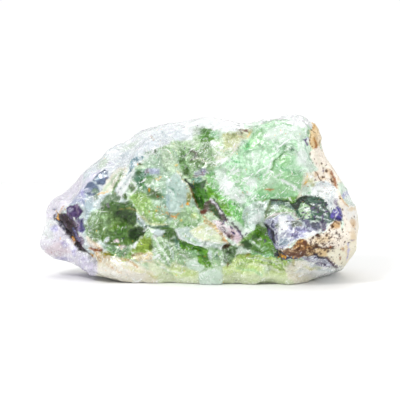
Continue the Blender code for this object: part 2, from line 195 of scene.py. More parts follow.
class Layer(Enum):
    """What is stored on the skin beside its colour, from 0 to 1."""

    FROST = "frost"
    RUST = "rust"
    DUSK = "dusk"
    RIND = "rind"


@dataclass(frozen=True)
class PhotoView:
    """The photograph's camera, and how the stone falls on its pixels."""

    azimuth_deg: float = 0.0
    elevation_deg: float = 5.0
    distance: float = 209.6
    target: Triple = (0.0, 0.0, 14.5)
    lens: float = 100.0
    sensor: float = 36.0
    pixels: int = 400

    def axes(self) -> tuple[np.ndarray, np.ndarray, np.ndarray, np.ndarray]:
        """The camera's place and its right, up and forward directions."""
        turn = math.radians(self.azimuth_deg)
        rise = math.radians(self.elevation_deg)
        back = np.array([
            math.sin(turn) * math.cos(rise),
            -math.cos(turn) * math.cos(rise),
            math.sin(rise),
        ])
        right = np.array([math.cos(turn), math.sin(turn), 0.0])
        up = np.cross(back, right)
        return np.array(self.target) + back * self.distance, right, up, -back

    def pixels_of(self, points: np.ndarray) -> np.ndarray:
        """Where points in millimetres fall in the photograph, as rows of across and down."""
        place, right, up, forward = self.axes()
        away = points - place
        scale = self.pixels * self.lens / self.sensor / (away @ forward)
        half = self.pixels / 2.0
        return np.stack([half + away @ right * scale, half - away @ up * scale], axis=1)

    def add_camera(self) -> None:
        """Puts this camera in the scene and looks through it."""
        place, _, _, forward = self.axes()
        data = bpy.data.cameras.new("camera")
        data.lens = self.lens
        data.sensor_width = self.sensor
        data.clip_start = 0.01
        camera = bpy.data.objects.new("camera", data)
        camera.location = Vector(place) * MM
        camera.rotation_mode = "QUATERNION"
        camera.rotation_quaternion = Vector(forward).to_track_quat("-Z", "Y")
        bpy.context.scene.collection.objects.link(camera)
        bpy.context.scene.camera = camera


@dataclass(frozen=True)
class Shape:
    """A region of the photographed side, in pixels of the photograph."""

    name: str
    soft: float

    def distance(self, pixels: np.ndarray) -> np.ndarray:
        """How far each pixel lies outside the shape; below zero inside it."""
        raise NotImplementedError

    def share(self, pixels: np.ndarray) -> np.ndarray:
        """How far each pixel lies in the shape, from 0 to 1."""
        return 1.0 - smooth_step(-self.soft, self.soft, self.distance(pixels))


@dataclass(frozen=True)
class Spot(Shape):
    """An egg-shaped region: its middle, half sizes and how far its right end is lifted."""

    at: Pixel
    half: Pixel
    turn_deg: float

    def distance(self, pixels: np.ndarray) -> np.ndarray:
        """How far each pixel lies outside the egg, roughly."""
        turn = math.radians(self.turn_deg)
        away = pixels - self.at
        across = away[:, 0] * math.cos(turn) - away[:, 1] * math.sin(turn)
        upward = -away[:, 1] * math.cos(turn) - away[:, 0] * math.sin(turn)
        reach = np.hypot(across / self.half[0], upward / self.half[1])
        return (reach - 1.0) * min(self.half)


@dataclass(frozen=True)
class Stroke(Shape):
    """A line with a width."""

    line: tuple[Pixel, ...]
    width: float

    def distance(self, pixels: np.ndarray) -> np.ndarray:
        """How far each pixel lies outside the line's width."""
        return line_gap(pixels, self.line) - self.width / 2.0


@dataclass(frozen=True)
class Face(Shape):
    """A flat region inside straight edges."""

    corners: tuple[Pixel, ...]

    def distance(self, pixels: np.ndarray) -> np.ndarray:
        """How far each pixel lies outside the edges; below zero inside them."""
        gap = line_gap(pixels, self.corners + self.corners[:1])
        across, down = pixels.T
        inside = np.zeros(len(pixels), bool)
        for start, end in zip(self.corners, self.corners[1:] + self.corners[:1]):
            if start[1] == end[1]:
                continue
            between = (start[1] > down) != (end[1] > down)
            crossing = start[0] + (down - start[1]) * (end[0] - start[0]) / (end[1] - start[1])
            inside ^= between & (across < crossing)
        return np.where(inside, -gap, gap)


def line_gap(pixels: np.ndarray, line: tuple[Pixel, ...]) -> np.ndarray:
    """How far each pixel lies from a line of straight pieces."""
    gap = np.full(len(pixels), np.inf)
    corners = np.array(line, float)
    for start, end in zip(corners[:-1], corners[1:]):
        along = end - start
        share = np.clip((pixels - start) @ along / (along @ along), 0.0, 1.0)
        gap = np.minimum(gap, np.linalg.norm(pixels - start - share[:, None] * along, axis=1))
    return gap


@dataclass(frozen=True)
class Mark:
    """A shape in one tint. lift raises it in millimetres and flat presses it to a plane."""

    tint: Tint
    shape: Shape
    strength: float
    lift: float = 0.0
    flat: float = 0.0


def pairs(text: str) -> tuple[Pixel, ...]:
    """Pairs of numbers, which the text parts by spaces."""
    return tuple((float(pair.split(",")[0]), float(pair.split(",")[1])) for pair in text.split())


def face(name: str, tint: Tint, outline: str, soft: float = 0.8,
         strength: float = 1.0, lift: float = 0.0, flat: float = 0.0) -> Mark:
    """A mark inside an outline of corners."""
    return Mark(tint, Face(name, soft, pairs(outline)), strength, lift, flat)


def spot(name: str, tint: Tint, egg: str, soft: float = 0.8, strength: float = 0.8) -> Mark:
    """An egg-shaped mark: its middle, its half sizes and, if it has one, its turn in degrees."""
    middle, half, *turn = egg.split()
    turn_deg = float(turn[0]) if turn else 0.0
    return Mark(tint, Spot(name, soft, pairs(middle)[0], pairs(half)[0], turn_deg), strength)


def stroke(name: str, tint: Tint, width: float, line: str, soft: float = 0.7,
           strength: float = 0.8, lift: float = 0.0) -> Mark:
    """A mark along a line."""
    return Mark(tint, Stroke(name, soft, pairs(line), width), strength, lift)


# The marks of the photographed side, painted in this order.
GROUND = (
    face("ground_left", Tint.ICE, "0,60 120,60 140,330 0,330", soft=8),
    face("ground_middle", Tint.CELADON_PALE, "120,60 215,60 230,330 135,330", soft=8),
    face("ground_right", Tint.MINT_WHITE, "210,60 400,60 400,330 225,330", soft=8),
)

LEFT_TIP = (
    face("lilac_tip", Tint.LILAC_SNOW, "50,206 38,222 36,256 60,268 84,276 110,276 98,262 86,252 76,246 "
         "68,236 60,225 56,218"),
    face("tip_rose", Tint.ROSE, "44,250 54,243 64,242 70,252 60,256 46,256", soft=3, strength=0.7),
    face("tip_floor", Tint.LILAC_WHITE, "78,252 84,254 96,264 104,272 92,276 80,268", soft=2, strength=0.6),
    # White along the tip's thin left edge: partly the stone's own white, partly a painted glow of light
    # through the thin edge.
    face("tip_white", Tint.SNOW, "40,214 54,212 58,222 50,238 40,238", soft=2.5, strength=0.8),
    spot("lavender_upper", Tint.LAVENDER, "54,228 4,3 40", soft=1.2, strength=0.75),
    spot("lavender_middle", Tint.LAVENDER, "64,245 3.2,2.6 -30", soft=2, strength=0.65),
    spot("lavender_low", Tint.LAVENDER, "63,259 7,2 -6", soft=1.6, strength=0.6),
    spot("lavender_right", Tint.LAVENDER, "74,251 2.2,4.6 10", soft=1.6, strength=0.6),
    spot("lavender_top", Tint.LAVENDER, "81,192 2,3 -20", soft=1.4),
    spot("lavender_dot", Tint.SLATE_VIOLET, "72,201 1.8,1 20", strength=0.7),
    face("lilac_above", Tint.LAVENDER, "70,205 74,198 82,189 86,196 84,206 78,202", soft=1.5, strength=0.5),
    face("lilac_above_left", Tint.LILAC_SNOW, "36,214 50,192 72,172 84,170 80,190 70,204 60,212 52,220",
         soft=1.5),
    face("dark_tip", Tint.PLUM, "55,211 60,213 70,213 74,219 77,229 80,238 83,249 79,251 74,244 69,238 "
         "65,234 61,226 56,220", lift=-0.15, flat=0.5),
    spot("dark_top_dot", Tint.SLATE, "53,209 1.3,1.6"),
    face("mauve_slope", Tint.MAUVE, "77,235 81,235 84,242 84,248 80,248", soft=1, strength=0.8),
    stroke("slope_dark", Tint.AUBERGINE, 2.2, "74,232 78,241 80,249", strength=1),
    face("hexagon", Tint.AMETHYST, "67,208 71,206 77,203 80,206 83,211 80,216 76,220 70,219 67,213",
         soft=0.6, lift=0.15, flat=0.7),
    stroke("hexagon_grey", Tint.MAUVE, 2.2, "76,205 78,213", strength=0.75),
    # A painted highlight: a small pale glint on the hexagon.
    spot("hexagon_glint", Tint.PALE_VIOLET, "71,210 1.8,1.4 20"),
    face("violet_face", Tint.VIOLET, "76,219 83,219 86,229 82,234 78,231", flat=0.5),
    face("violet_grey", Tint.MAUVE, "72,221 79,220 81,229 77,231 73,227", soft=1.2, strength=0.6),
    stroke("blue_ray", Tint.SLATE_BLUE, 1.5, "71,229 75,234 79,241"),
    spot("tip_glint", Tint.SNOW, "74,219 1.3,1.1", soft=0.6, strength=1),
    stroke("slate_line", Tint.NAVY, 1.3, "54,215 55,220 59,225 63,231", strength=1),
    stroke("black_line", Tint.INK, 2, "56,219 60,223 64,228 68,234 71,237", strength=1),
    spot("black_top", Tint.INK, "56,212 1.5,1.3 -40", soft=0.7, strength=1),
    stroke("orange_top", Tint.ORANGE, 1.6, "57,214 58,219", strength=1),
    spot("orange_edge", Tint.ORANGE, "55,211 1.2,1", soft=1, strength=1),
    stroke("orange_middle", Tint.ORANGE, 1.1, "71,238 74,244", strength=1),
    stroke("rust_top", Tint.TAN, 1.3, "60,212 62,207 65,206", strength=0.7),
    stroke("rust_top_low", Tint.COCOA_ROSE, 1.2, "61,214 64,210 63,206", strength=0.6),
    stroke("white_fibre", Tint.SNOW, 1.5, "81,234 86,243 91,250 96,257", strength=1),
    face("tan_fibres", Tint.BEIGE, "86,237 93,235 98,243 103,249 97,250 90,247", soft=1.3, strength=0.9),
    stroke("fibre_line", Tint.COCOA_ROSE, 1.2, "88,243 94,246 101,250", strength=0.7),
    stroke("fibre_line_upper", Tint.TAN, 1.1, "90,237 94,242 98,248", strength=0.6),
    face("tan_low", Tint.SAND, "92,251 106,252 112,264 106,270 98,264", soft=2, strength=0.7),
    stroke("rust_fibre", Tint.RUST, 2.6, "89,248 94,250 101,251", soft=1, strength=1),
    stroke("rust_fibre_low", Tint.TAN, 1.5, "96,252 101,259 104,267", strength=1),
    stroke("gold_fibre", Tint.OLIVE_GOLD, 3, "102,253 110,255 115,256", soft=1, strength=1),
    stroke("grey_shadow", Tint.SMOKE, 2.4, "80,250 86,256 93,263", soft=1, strength=0.5),
    stroke("crack_line", Tint.INK, 1.5, "76,245 79,250 84,251 90,256 95,261", strength=1),
    stroke("crack_gold", Tint.GOLD, 1.2, "88,253 92,257 96,261", strength=1),
    spot("tip_foot_brown", Tint.MAUVE, "96,266 4,1.4", soft=1.2, strength=0.5),
)

UPPER_LEFT = (
    face("upper_left_band", Tint.FROST, "60,196 88,148 120,136 150,118 196,116 192,140 176,141 160,147 "
         "148,152 130,162 120,174 106,190 98,202 84,206 82,192", soft=1.5),
    # Whiter along the band's thin upper edge: partly the stone's own white, partly a painted glow of light
    # through the thin edge.
    face("band_rim", Tint.SNOW, "80,190 104,160 122,142 150,124 196,118 190,130 160,132 130,148 112,164 "
         "96,180", soft=3, strength=0.6),
    face("band_lilac", Tint.LILAC_WHITE, "70,198 90,176 108,160 112,164 92,182 84,192", soft=2,
         strength=0.7),
    spot("band_end", Tint.SNOW, "190,126 9,12", soft=6),
    spot("band_green", Tint.CELADON_PALE, "103,164 7,3.5 40", soft=2, strength=0.6),
    spot("band_straw", Tint.CELADON_PALE, "130,146 8,2.5 30", soft=2, strength=0.5),
    stroke("band_fleck", Tint.RUST, 1.2, "151,137 154,140", strength=0.7),
    stroke("band_crease", Tint.PALE_BLUE, 1.6, "162,131 166,137", strength=0.7),
    spot("band_grey_left", Tint.PALE_BLUE, "124,156 5,2.5 30", soft=2, strength=0.5),
    spot("crown_mint", Tint.CELADON, "180,144 8,3.2 -15", soft=1.5),
    face("slate_window", Tint.SLATE, "92,180 98,173 104,170 108,171 107,178 103,186 97,184", soft=0.6,
         lift=-0.2, flat=0.6),
    spot("window_light", Tint.TEAL_GREY, "98,177 4.6,2.2 40", soft=1.2, strength=0.7),
    spot("window_glint", Tint.ICE, "104,174 1.2,1.8 -30", strength=0.7),
    face("slate_window_low", Tint.SLATE, "82,190 87,183 92,180 98,186 100,192 94,196 86,194", soft=0.6,
         lift=-0.15, flat=0.6),
    spot("window_green", Tint.GREY_GREEN, "95,191 3.4,2.4", soft=1.2),
    spot("window_grey", Tint.PALE_VIOLET, "86,190 2.6,2", soft=1.2, strength=0.6),
    stroke("window_bar", Tint.ICE, 1.1, "92,180 96,184 101,189"),
    face("under_window", Tint.GREY_GREEN, "93,196 99,190 100,200 95,202", soft=1, strength=0.8),
    face("pale_blue_face", Tint.PALE_BLUE, "83,192 92,196 93,206 90,218 86,220 84,206", flat=0.5),
    face("pale_blue_right", Tint.ICE, "93,202 100,197 104,200 96,210 91,218 92,206", strength=0.9, flat=0.5),
    face("inner_straw", Tint.CREAM_WHITE, "102,192 106,180 118,168 126,166 128,170 118,184 110,192",
         soft=1.5, strength=0.8),
    stroke("straw_shade", Tint.CELADON_PALE, 2.2, "104,190 112,180 121,170", soft=1.2),
    stroke("inner_green", Tint.HAZE_GREEN, 2.8, "112,192 117,182 121,173", soft=1, strength=1),
    stroke("orange_dash", Tint.GOLD, 1.4, "99,194 107,192", strength=0.7),
    face("teal_groove", Tint.TEAL_GREY, "125,174 132,160 138,155 146,152 144,159 137,165 131,172 126,178",
         soft=1),
    stroke("teal_streak", Tint.TEAL_DARK, 2.4, "138,160 144,155", soft=1),
    stroke("groove_white", Tint.SNOW, 2.4, "135,166 143,160 148,156", soft=1, strength=1),
    spot("dark_bead_upper", Tint.OLIVE_DARK, "140,164 1.9,1.4", strength=1),
    face("grey_between", Tint.SEA_MIST, "146,152 156,149 161,158 160,168 146,168 142,164", soft=1.5,
         strength=0.9),
    spot("between_green", Tint.SMOKE, "153,152 4,2.4 40", soft=1.5, strength=0.6),
    face("white_blade", Tint.SNOW, "116,190 120,182 127,175 134,169 137,172 132,181 127,189 121,199 118,196",
         soft=0.6, lift=0.3, flat=0.7),
    stroke("blade_blue", Tint.PALE_BLUE, 2, "119,190 125,182 131,175", soft=1, strength=0.6),
)

BOWL = (
    face("bowl_upper_left", Tint.GREY_GREEN, "100,204 106,196 114,190 120,198 118,203 108,206", soft=1.2),
    face("bowl_left", Tint.HAZE_GREEN, "84,224 92,214 102,207 106,222 104,238 96,242 87,236", soft=2),
    stroke("bowl_ray_a", Tint.CELADON_PALE, 1.3, "91,231 98,226 106,224", strength=0.7),
    stroke("bowl_ray_c", Tint.ICE, 1.1, "86,222 90,230 92,238", strength=0.6),
    face("bowl_left_pale", Tint.CELADON, "88,214 96,208 101,210 99,219 91,222", soft=1.5, strength=0.5),
    face("bowl_brow", Tint.MOSS, "100,205 112,201 124,203 130,201 137,208 138,213 128,211 112,210 102,212",
         soft=1),
    face("bowl", Tint.BOTTLE, "101,212 112,209 128,210 136,212 137,219 136,226 141,224 146,230 143,238 "
         "137,243 126,247 112,247 102,242 98,230", soft=1.6),
    spot("bowl_haze", Tint.HAZE_GREEN, "106,222 6,11 10", soft=3, strength=0.6),
    spot("bowl_heart", Tint.MOSS_BRIGHT, "120,232 9,8 20", soft=4, strength=0.5),
    spot("bowl_lime", Tint.YELLOW_GREEN, "113,226 4.6,3 30", soft=2.5, strength=0.4),
    stroke("bowl_arc", Tint.CELADON, 1.3, "102,213 106,219 107,228", strength=0.6),
    stroke("bowl_arc_low", Tint.CELADON, 1.2, "104,234 112,237 120,236", strength=0.5),
    face("bowl_dark_top", Tint.DEEP_BOTTLE, "112,211 122,210 135,211 137,217 135,226 129,223 121,219 "
         "113,216", soft=2.4, strength=0.85),
    face("bowl_dark_low", Tint.DEEP_BOTTLE, "130,231 138,226 145,230 142,239 134,242 129,238", soft=2.4,
         strength=0.95),
    face("bowl_rim", Tint.ICE, "136,212 140,214 146,223 147,230 142,226 137,221", soft=0.7, lift=0.3),
    stroke("rim_teal", Tint.TEAL_GREEN, 1.6, "138,217 143,225", strength=0.7),
    stroke("rim_rust", Tint.TAN, 1.1, "120,209 130,209 138,211 144,219", strength=0.4),
    face("rim_low", Tint.SNOW, "132,247 134,243 139,241 144,234 146,236 140,244 136,248", lift=0.2),
    face("bowl_foot", Tint.MOSS_BRIGHT, "102,245 112,247 126,247 131,249 128,255 120,259 110,255", soft=1.3,
         strength=0.8),
    spot("foot_pink", Tint.ROSE, "122,247 4.6,1.4", soft=1),
    spot("bowl_blue_fleck", Tint.ICE, "107,240 3.2,2.2 40", strength=1),
    spot("bowl_rose_fleck", Tint.ROSE, "117,241 2.8,1.6 10", strength=1),
    spot("bowl_white_fleck", Tint.SNOW, "126,227 1.1,0.8", soft=0.6, strength=1),
    stroke("bowl_sheen", Tint.CELADON, 1.6, "99,236 106,226 103,214", strength=0.5),
    stroke("bowl_white_line", Tint.ICE, 1.2, "88,232 92,224 94,216", strength=0.5),
    spot("oval_dark", Tint.BOTTLE, "125,197 2.6,3.2", strength=1),
    face("knot_brown", Tint.MAUVE, "106,203 109,202 110,207 107,208", strength=0.7),
)

CENTRE = (
    face("centre_base", Tint.SEA_MIST, "160,147 174,148 180,160 180,172 190,187 196,200 200,212 192,222 "
         "168,226 150,222 140,212 130,200 138,186 146,176 150,162", soft=1.2),
    face("centre_upper", Tint.CELADON_PALE, "161,149 170,148 178,160 178,172 168,172 161,162", strength=0.7,
         flat=0.4),
    stroke("centre_arc", Tint.CELADON, 2.4, "160,148 168,147 173,153", soft=1, strength=1),
    face("centre_green", Tint.TEAL_GREEN, "133,178 136,170 146,168 150,178 146,188 138,188", soft=2,
         strength=0.9),
    spot("centre_deep", Tint.MOSS, "139,173 3,2.4 30", soft=1.2),
    face("centre_lime", Tint.YELLOW_GREEN, "129,197 137,190 146,194 152,204 158,214 162,223 150,222 142,214 "
         "135,206", soft=2.5, strength=0.75),
    face("centre_lime_pale", Tint.CELADON, "146,204 158,206 166,216 164,222 150,219", soft=3, strength=0.7),
    stroke("lime_arc", Tint.YELLOW_GREEN, 2, "154,211 155,220 162,223 167,219", soft=1, strength=0.7),
    face("centre_right_face", Tint.SEA_PALE, "166,180 178,172 188,186 188,198 184,206 176,213 168,213 "
         "166,198", soft=0.6, lift=0.1, flat=0.6),
    stroke("face_shade", Tint.TEAL_GREY, 3, "168,196 168,206 170,212", soft=1.2, strength=0.5),
    stroke("face_scratch", Tint.TEAL_GREEN, 1.6, "169,187 174,191 176,196", strength=0.7),
    stroke("face_chip", Tint.SNOW, 1.6, "170,190 174,195"),
    stroke("shade_column", Tint.PETROL_PALE, 3, "163,190 165,204", soft=1.5, strength=0.6),
    face("lilac_zone", Tint.LAVENDER, "147,169 153,168 160,170 158,174 150,175", soft=1.4, strength=0.6),
    spot("lilac_shade", Tint.MAUVE, "147,171 2.4,3", soft=1.2, strength=0.7),
    spot("curl", Tint.CELADON, "149,181 5,4", strength=0.85),
    stroke("curl_rim", Tint.SNOW, 1.1, "145,183 148,186 153,184 154,179"),
    stroke("curl_top", Tint.MOSS_BRIGHT, 1.6, "146,178 151,177 155,180"),
    spot("centre_leaf", Tint.LEAF, "142,184 3.4,5", soft=1.8, strength=0.55),
    face("olive_spot", Tint.MOSS, "146,187 154,188 162,194 163,199 154,200 147,199", soft=2, strength=0.85),
    spot("olive_dark", Tint.OLIVE_DARK, "154,193 4,2.6 -40", soft=1.2, strength=0.7),
    spot("oval_pale", Tint.MOSS, "132,188 2.6,4 25"),
    stroke("oval_rim", Tint.SNOW, 1.2, "135,183 136,189 131,194", strength=1),
    face("lower_lobe", Tint.CELADON, "168,226 174,219 184,208 194,207 203,218 196,227 186,231 174,229",
         flat=0.3),
    spot("lobe_green", Tint.MOSS_BRIGHT, "188,226 5,2.2 10", soft=1.2),
    spot("lobe_pale", Tint.LIME_PALE, "194,216 3.6,3", soft=1.4, strength=0.7),
    face("gold_facet", Tint.OLIVE_GOLD, "187,192 190,194 189,206 186,206", strength=0.8),
    stroke("lobe_edge", Tint.STRAW, 1.3, "142,215 148,222 158,225 168,225"),
    stroke("face_edge", Tint.STRAW, 1.2, "178,171 184,180 189,187 192,196", strength=1),
    spot("orange_a", Tint.ORANGE, "187,204 1.3,1.5", soft=0.6, strength=1),
    stroke("orange_b", Tint.ORANGE, 1.3, "172,216 176,217", strength=1),
    stroke("orange_c", Tint.ORANGE, 0.9, "164,212 168,214"),
    stroke("orange_d", Tint.ORANGE, 0.9, "176,215 179,213"),
    spot("orange_e", Tint.GOLD, "182,206 1,1", soft=0.7),
    spot("orange_g", Tint.GOLD, "157,180 1.1,0.9", soft=0.7, strength=0.7),
    spot("orange_j", Tint.RUST, "157,197 1.2,1", soft=0.7),
    spot("orange_k", Tint.GOLD, "156,210 0.9,1.1", soft=0.7, strength=0.7),
    spot("orange_l", Tint.GOLD, "181,221 1.1,0.8", soft=0.7),
    stroke("orange_m", Tint.GOLD, 1.2, "194,196 199,201", strength=0.7),
    spot("orange_f", Tint.GOLD, "160,177 1.1,0.8", soft=0.7, strength=0.7),
    spot("orange_h", Tint.GOLD, "176,165 1.3,0.9", soft=0.7, strength=0.7),
    spot("orange_i", Tint.ORANGE, "149,190 0.8,1.5", soft=0.7),
)

RIDGE = (
    face("rough_green", Tint.CELADON, "178,148 192,146 212,150 216,166 208,178 190,177 180,166", soft=1.5),
    face("rough_leaf", Tint.MOSS_BRIGHT, "178,155 182,158 188,165 190,174 184,174 179,166", soft=1.3,
         strength=0.75),
    spot("rough_dark_upper", Tint.MOSS_BRIGHT, "182,153 4.4,2 -10", soft=1.2, strength=0.6),
    stroke("rough_leaf_dark", Tint.MOSS, 2, "181,161 185,166 187,170"),
    face("rough_grey", Tint.SMOKE, "190,151 197,150 201,157 198,160 192,158", soft=1.2, strength=0.7),
    stroke("rough_umber", Tint.MAUVE_BROWN, 1.3, "193,151 197,154 196,159", strength=0.7),
    face("rough_olive_band", Tint.MOSS, "190,161 204,161 214,164 208,168 194,167", soft=1.4, strength=0.55),
    stroke("rough_olive_line", Tint.OLIVE_DARK, 1.4, "190,163 198,162 205,164", strength=0.6),
    stroke("rough_pale_line", Tint.CREAM_WHITE, 1.4, "192,160 200,159 208,162", strength=0.7),
    face("rough_mauve", Tint.PALE_VIOLET, "194,170 206,168 208,173 202,177 194,176", soft=1.2, strength=0.8),
    stroke("rough_rose", Tint.COCOA_ROSE, 1.2, "193,174 198,176 204,175", strength=0.7),
    spot("mauve_dot", Tint.AMETHYST, "204,173 2,1.4 30", strength=0.85),
    spot("rough_olive", Tint.OLIVE_DARK, "186,172 3.6,3", soft=1.5, strength=0.5),
    spot("teal_patch", Tint.PETROL_PALE, "211,174 2.6,3", soft=1.2, strength=0.7),
    face("dark_face_pale", Tint.PETROL_PALE, "190,177 201,177 204,181 198,184 191,182", soft=0.6, lift=0.15,
         flat=0.6),
    face("dark_face", Tint.LEAF_DARK, "184,178 189,182 198,184 206,181 206,187 198,191 190,189", soft=0.7),
    stroke("dark_face_edge", Tint.INK_GREEN, 2.4, "185,179 190,185 196,188", strength=1),
    stroke("dark_face_top", Tint.INK_GREEN, 1.2, "186,178 190,176 196,175", strength=0.7),
    face("ridge_shadow", Tint.LEAF_DARK, "190,188 197,190 201,200 203,208 198,204 193,197"),
    face("ridge_leaf", Tint.LEAF, "196,188 205,189 210,196 212,205 203,210 198,202", soft=1.1),
    spot("ridge_leaf_dark", Tint.LEAF_DARK, "199,200 2.4,5 30", soft=1.2),
    face("ridge_bright", Tint.VIVID, "206,186 212,186 222,198 232,206 236,216 226,216 216,204 208,198",
         soft=1.4),
    face("ridge_bright_low", Tint.SPRING, "212,188 222,192 240,206 252,216 244,226 236,220 226,206", soft=3,
         strength=0.9),
    face("spring_field", Tint.SPRING, "206,176 212,172 216,178 220,190 214,192 207,186", soft=1.5,
         strength=0.7),
    stroke("spring_line", Tint.MINT_WHITE, 1.1, "212,196 222,206 232,214"),
    spot("bright_core", Tint.VIVID, "224,206 4,3 -40", soft=1.5),
    face("fin", Tint.MAUVE_BROWN, "203,204 211,199 215,202 223,212 230,222 222,222 212,213 204,212",
         strength=0.85),
    face("fin_green", Tint.LEAF_DARK, "209,204 214,206 220,214 224,221 216,217 210,211", soft=1,
         strength=0.85),
    stroke("fin_edge", Tint.LILAC_SNOW, 1.6, "211,199 217,207 222,213", strength=1, lift=0.25),
    stroke("fin_edge_dark", Tint.INK_VIOLET, 1.2, "213,200 219,208 225,215"),
    spot("fin_rust", Tint.RUST_DARK, "204,212 2.8,2.2", strength=0.9),
    stroke("ridge_rust", Tint.RUST, 1.2, "190,188 196,200 202,210", strength=0.7),
    stroke("ridge_gold", Tint.TAN, 1.5, "204,216 212,224 222,234 228,243", strength=1, lift=0.15),
    face("rose_streak", Tint.ROSE, "211,219 219,221 231,226 241,234 246,242 236,242 228,238 219,230",
         lift=0.15),
    stroke("streak_snow", Tint.SNOW, 1.4, "213,221 221,226 229,231"),
    spot("streak_brown", Tint.COCOA_ROSE, "231,237 4,2.4 -30", soft=1, strength=0.9),
    spot("streak_cocoa", Tint.COCOA, "226,232 2.4,1.2 -40"),
    stroke("streak_plum", Tint.AUBERGINE, 2.4, "236,227 241,233 244,239", soft=0.8, strength=1),
    stroke("streak_violet", Tint.VIOLET, 1.3, "238,231 242,237", strength=0.7),
    spot("streak_plum_left", Tint.PLUM, "229,236 1.6,2.2", strength=0.9),
    stroke("streak_plum_upper", Tint.PLUM, 1.6, "222,214 228,220 236,228", strength=0.85),
    stroke("streak_plum_low", Tint.PLUM, 1.2, "219,227 226,233", strength=0.7),
)

UPPER_MIDDLE = (
    face("pale_top", Tint.SNOW, "188,122 200,112 216,114 244,120 242,130 228,132 214,130 203,127 196,128",
         soft=1.2),
    face("upper_field", Tint.CELADON_PALE, "194,140 204,142 218,136 230,132 242,138 244,150 238,162 226,166 "
         "212,162 200,153", soft=1.6),
    spot("field_green_left", Tint.CELADON, "204,148 7,5 30", soft=2),
    spot("field_white", Tint.SNOW, "213,143 3.4,2.8 10", soft=1, strength=1),
    spot("field_white_low", Tint.CREAM_WHITE, "221,160 7,3 -20", soft=1.5, strength=0.7),
    face("upper_green", Tint.MOSS_BRIGHT, "188,131 193,127 202,126 210,128 216,133 214,138 208,142 203,141 "
         "199,137 193,135", lift=0.1, flat=0.4),
    spot("upper_green_speck", Tint.ICE, "198,131 1,1.6 20", soft=0.7),
    stroke("upper_vivid", Tint.VIVID, 2.2, "192,135 197,139 205,141 213,138", soft=1),
    face("upper_mint", Tint.MINT, "209,130 219,131 218,137 211,136", soft=1),
    spot("upper_mint_shade", Tint.MINT_DEEP, "213,133 2.6,1.6", soft=1, strength=0.6),
    face("straw_net", Tint.STRAW, "222,134 238,131 242,138 236,150 226,150", soft=2, strength=0.6),
    stroke("straw_net_a", Tint.OLIVE_GOLD, 1, "222,134 230,135 238,134", strength=0.5),
    stroke("straw_net_c", Tint.CREAM_WHITE, 1.3, "220,150 230,150 238,146", strength=0.7),
    face("gold_crest", Tint.STRAW, "236,132 246,127 256,131 254,136 244,138 237,137", soft=1.6,
         strength=0.6),
    stroke("crest_gold", Tint.GOLD, 1, "247,134 250,132 254,132", strength=0.7),
    spot("crest_brown", Tint.COCOA, "241,131 1.3,2.2", soft=0.7),
    spot("crest_rust", Tint.COCOA_ROSE, "245,129 2.6,1.4 -20", strength=0.9),
    spot("crest_dot", Tint.RUST_DARK, "246,130 1.2,0.9", soft=0.6, strength=0.9),
    spot("crest_tan", Tint.TAN, "241,136 1.6,1", strength=0.7),
    stroke("straw_line", Tint.CREAM_WHITE, 1.6, "244,137 234,150 229,160 222,168"),
)

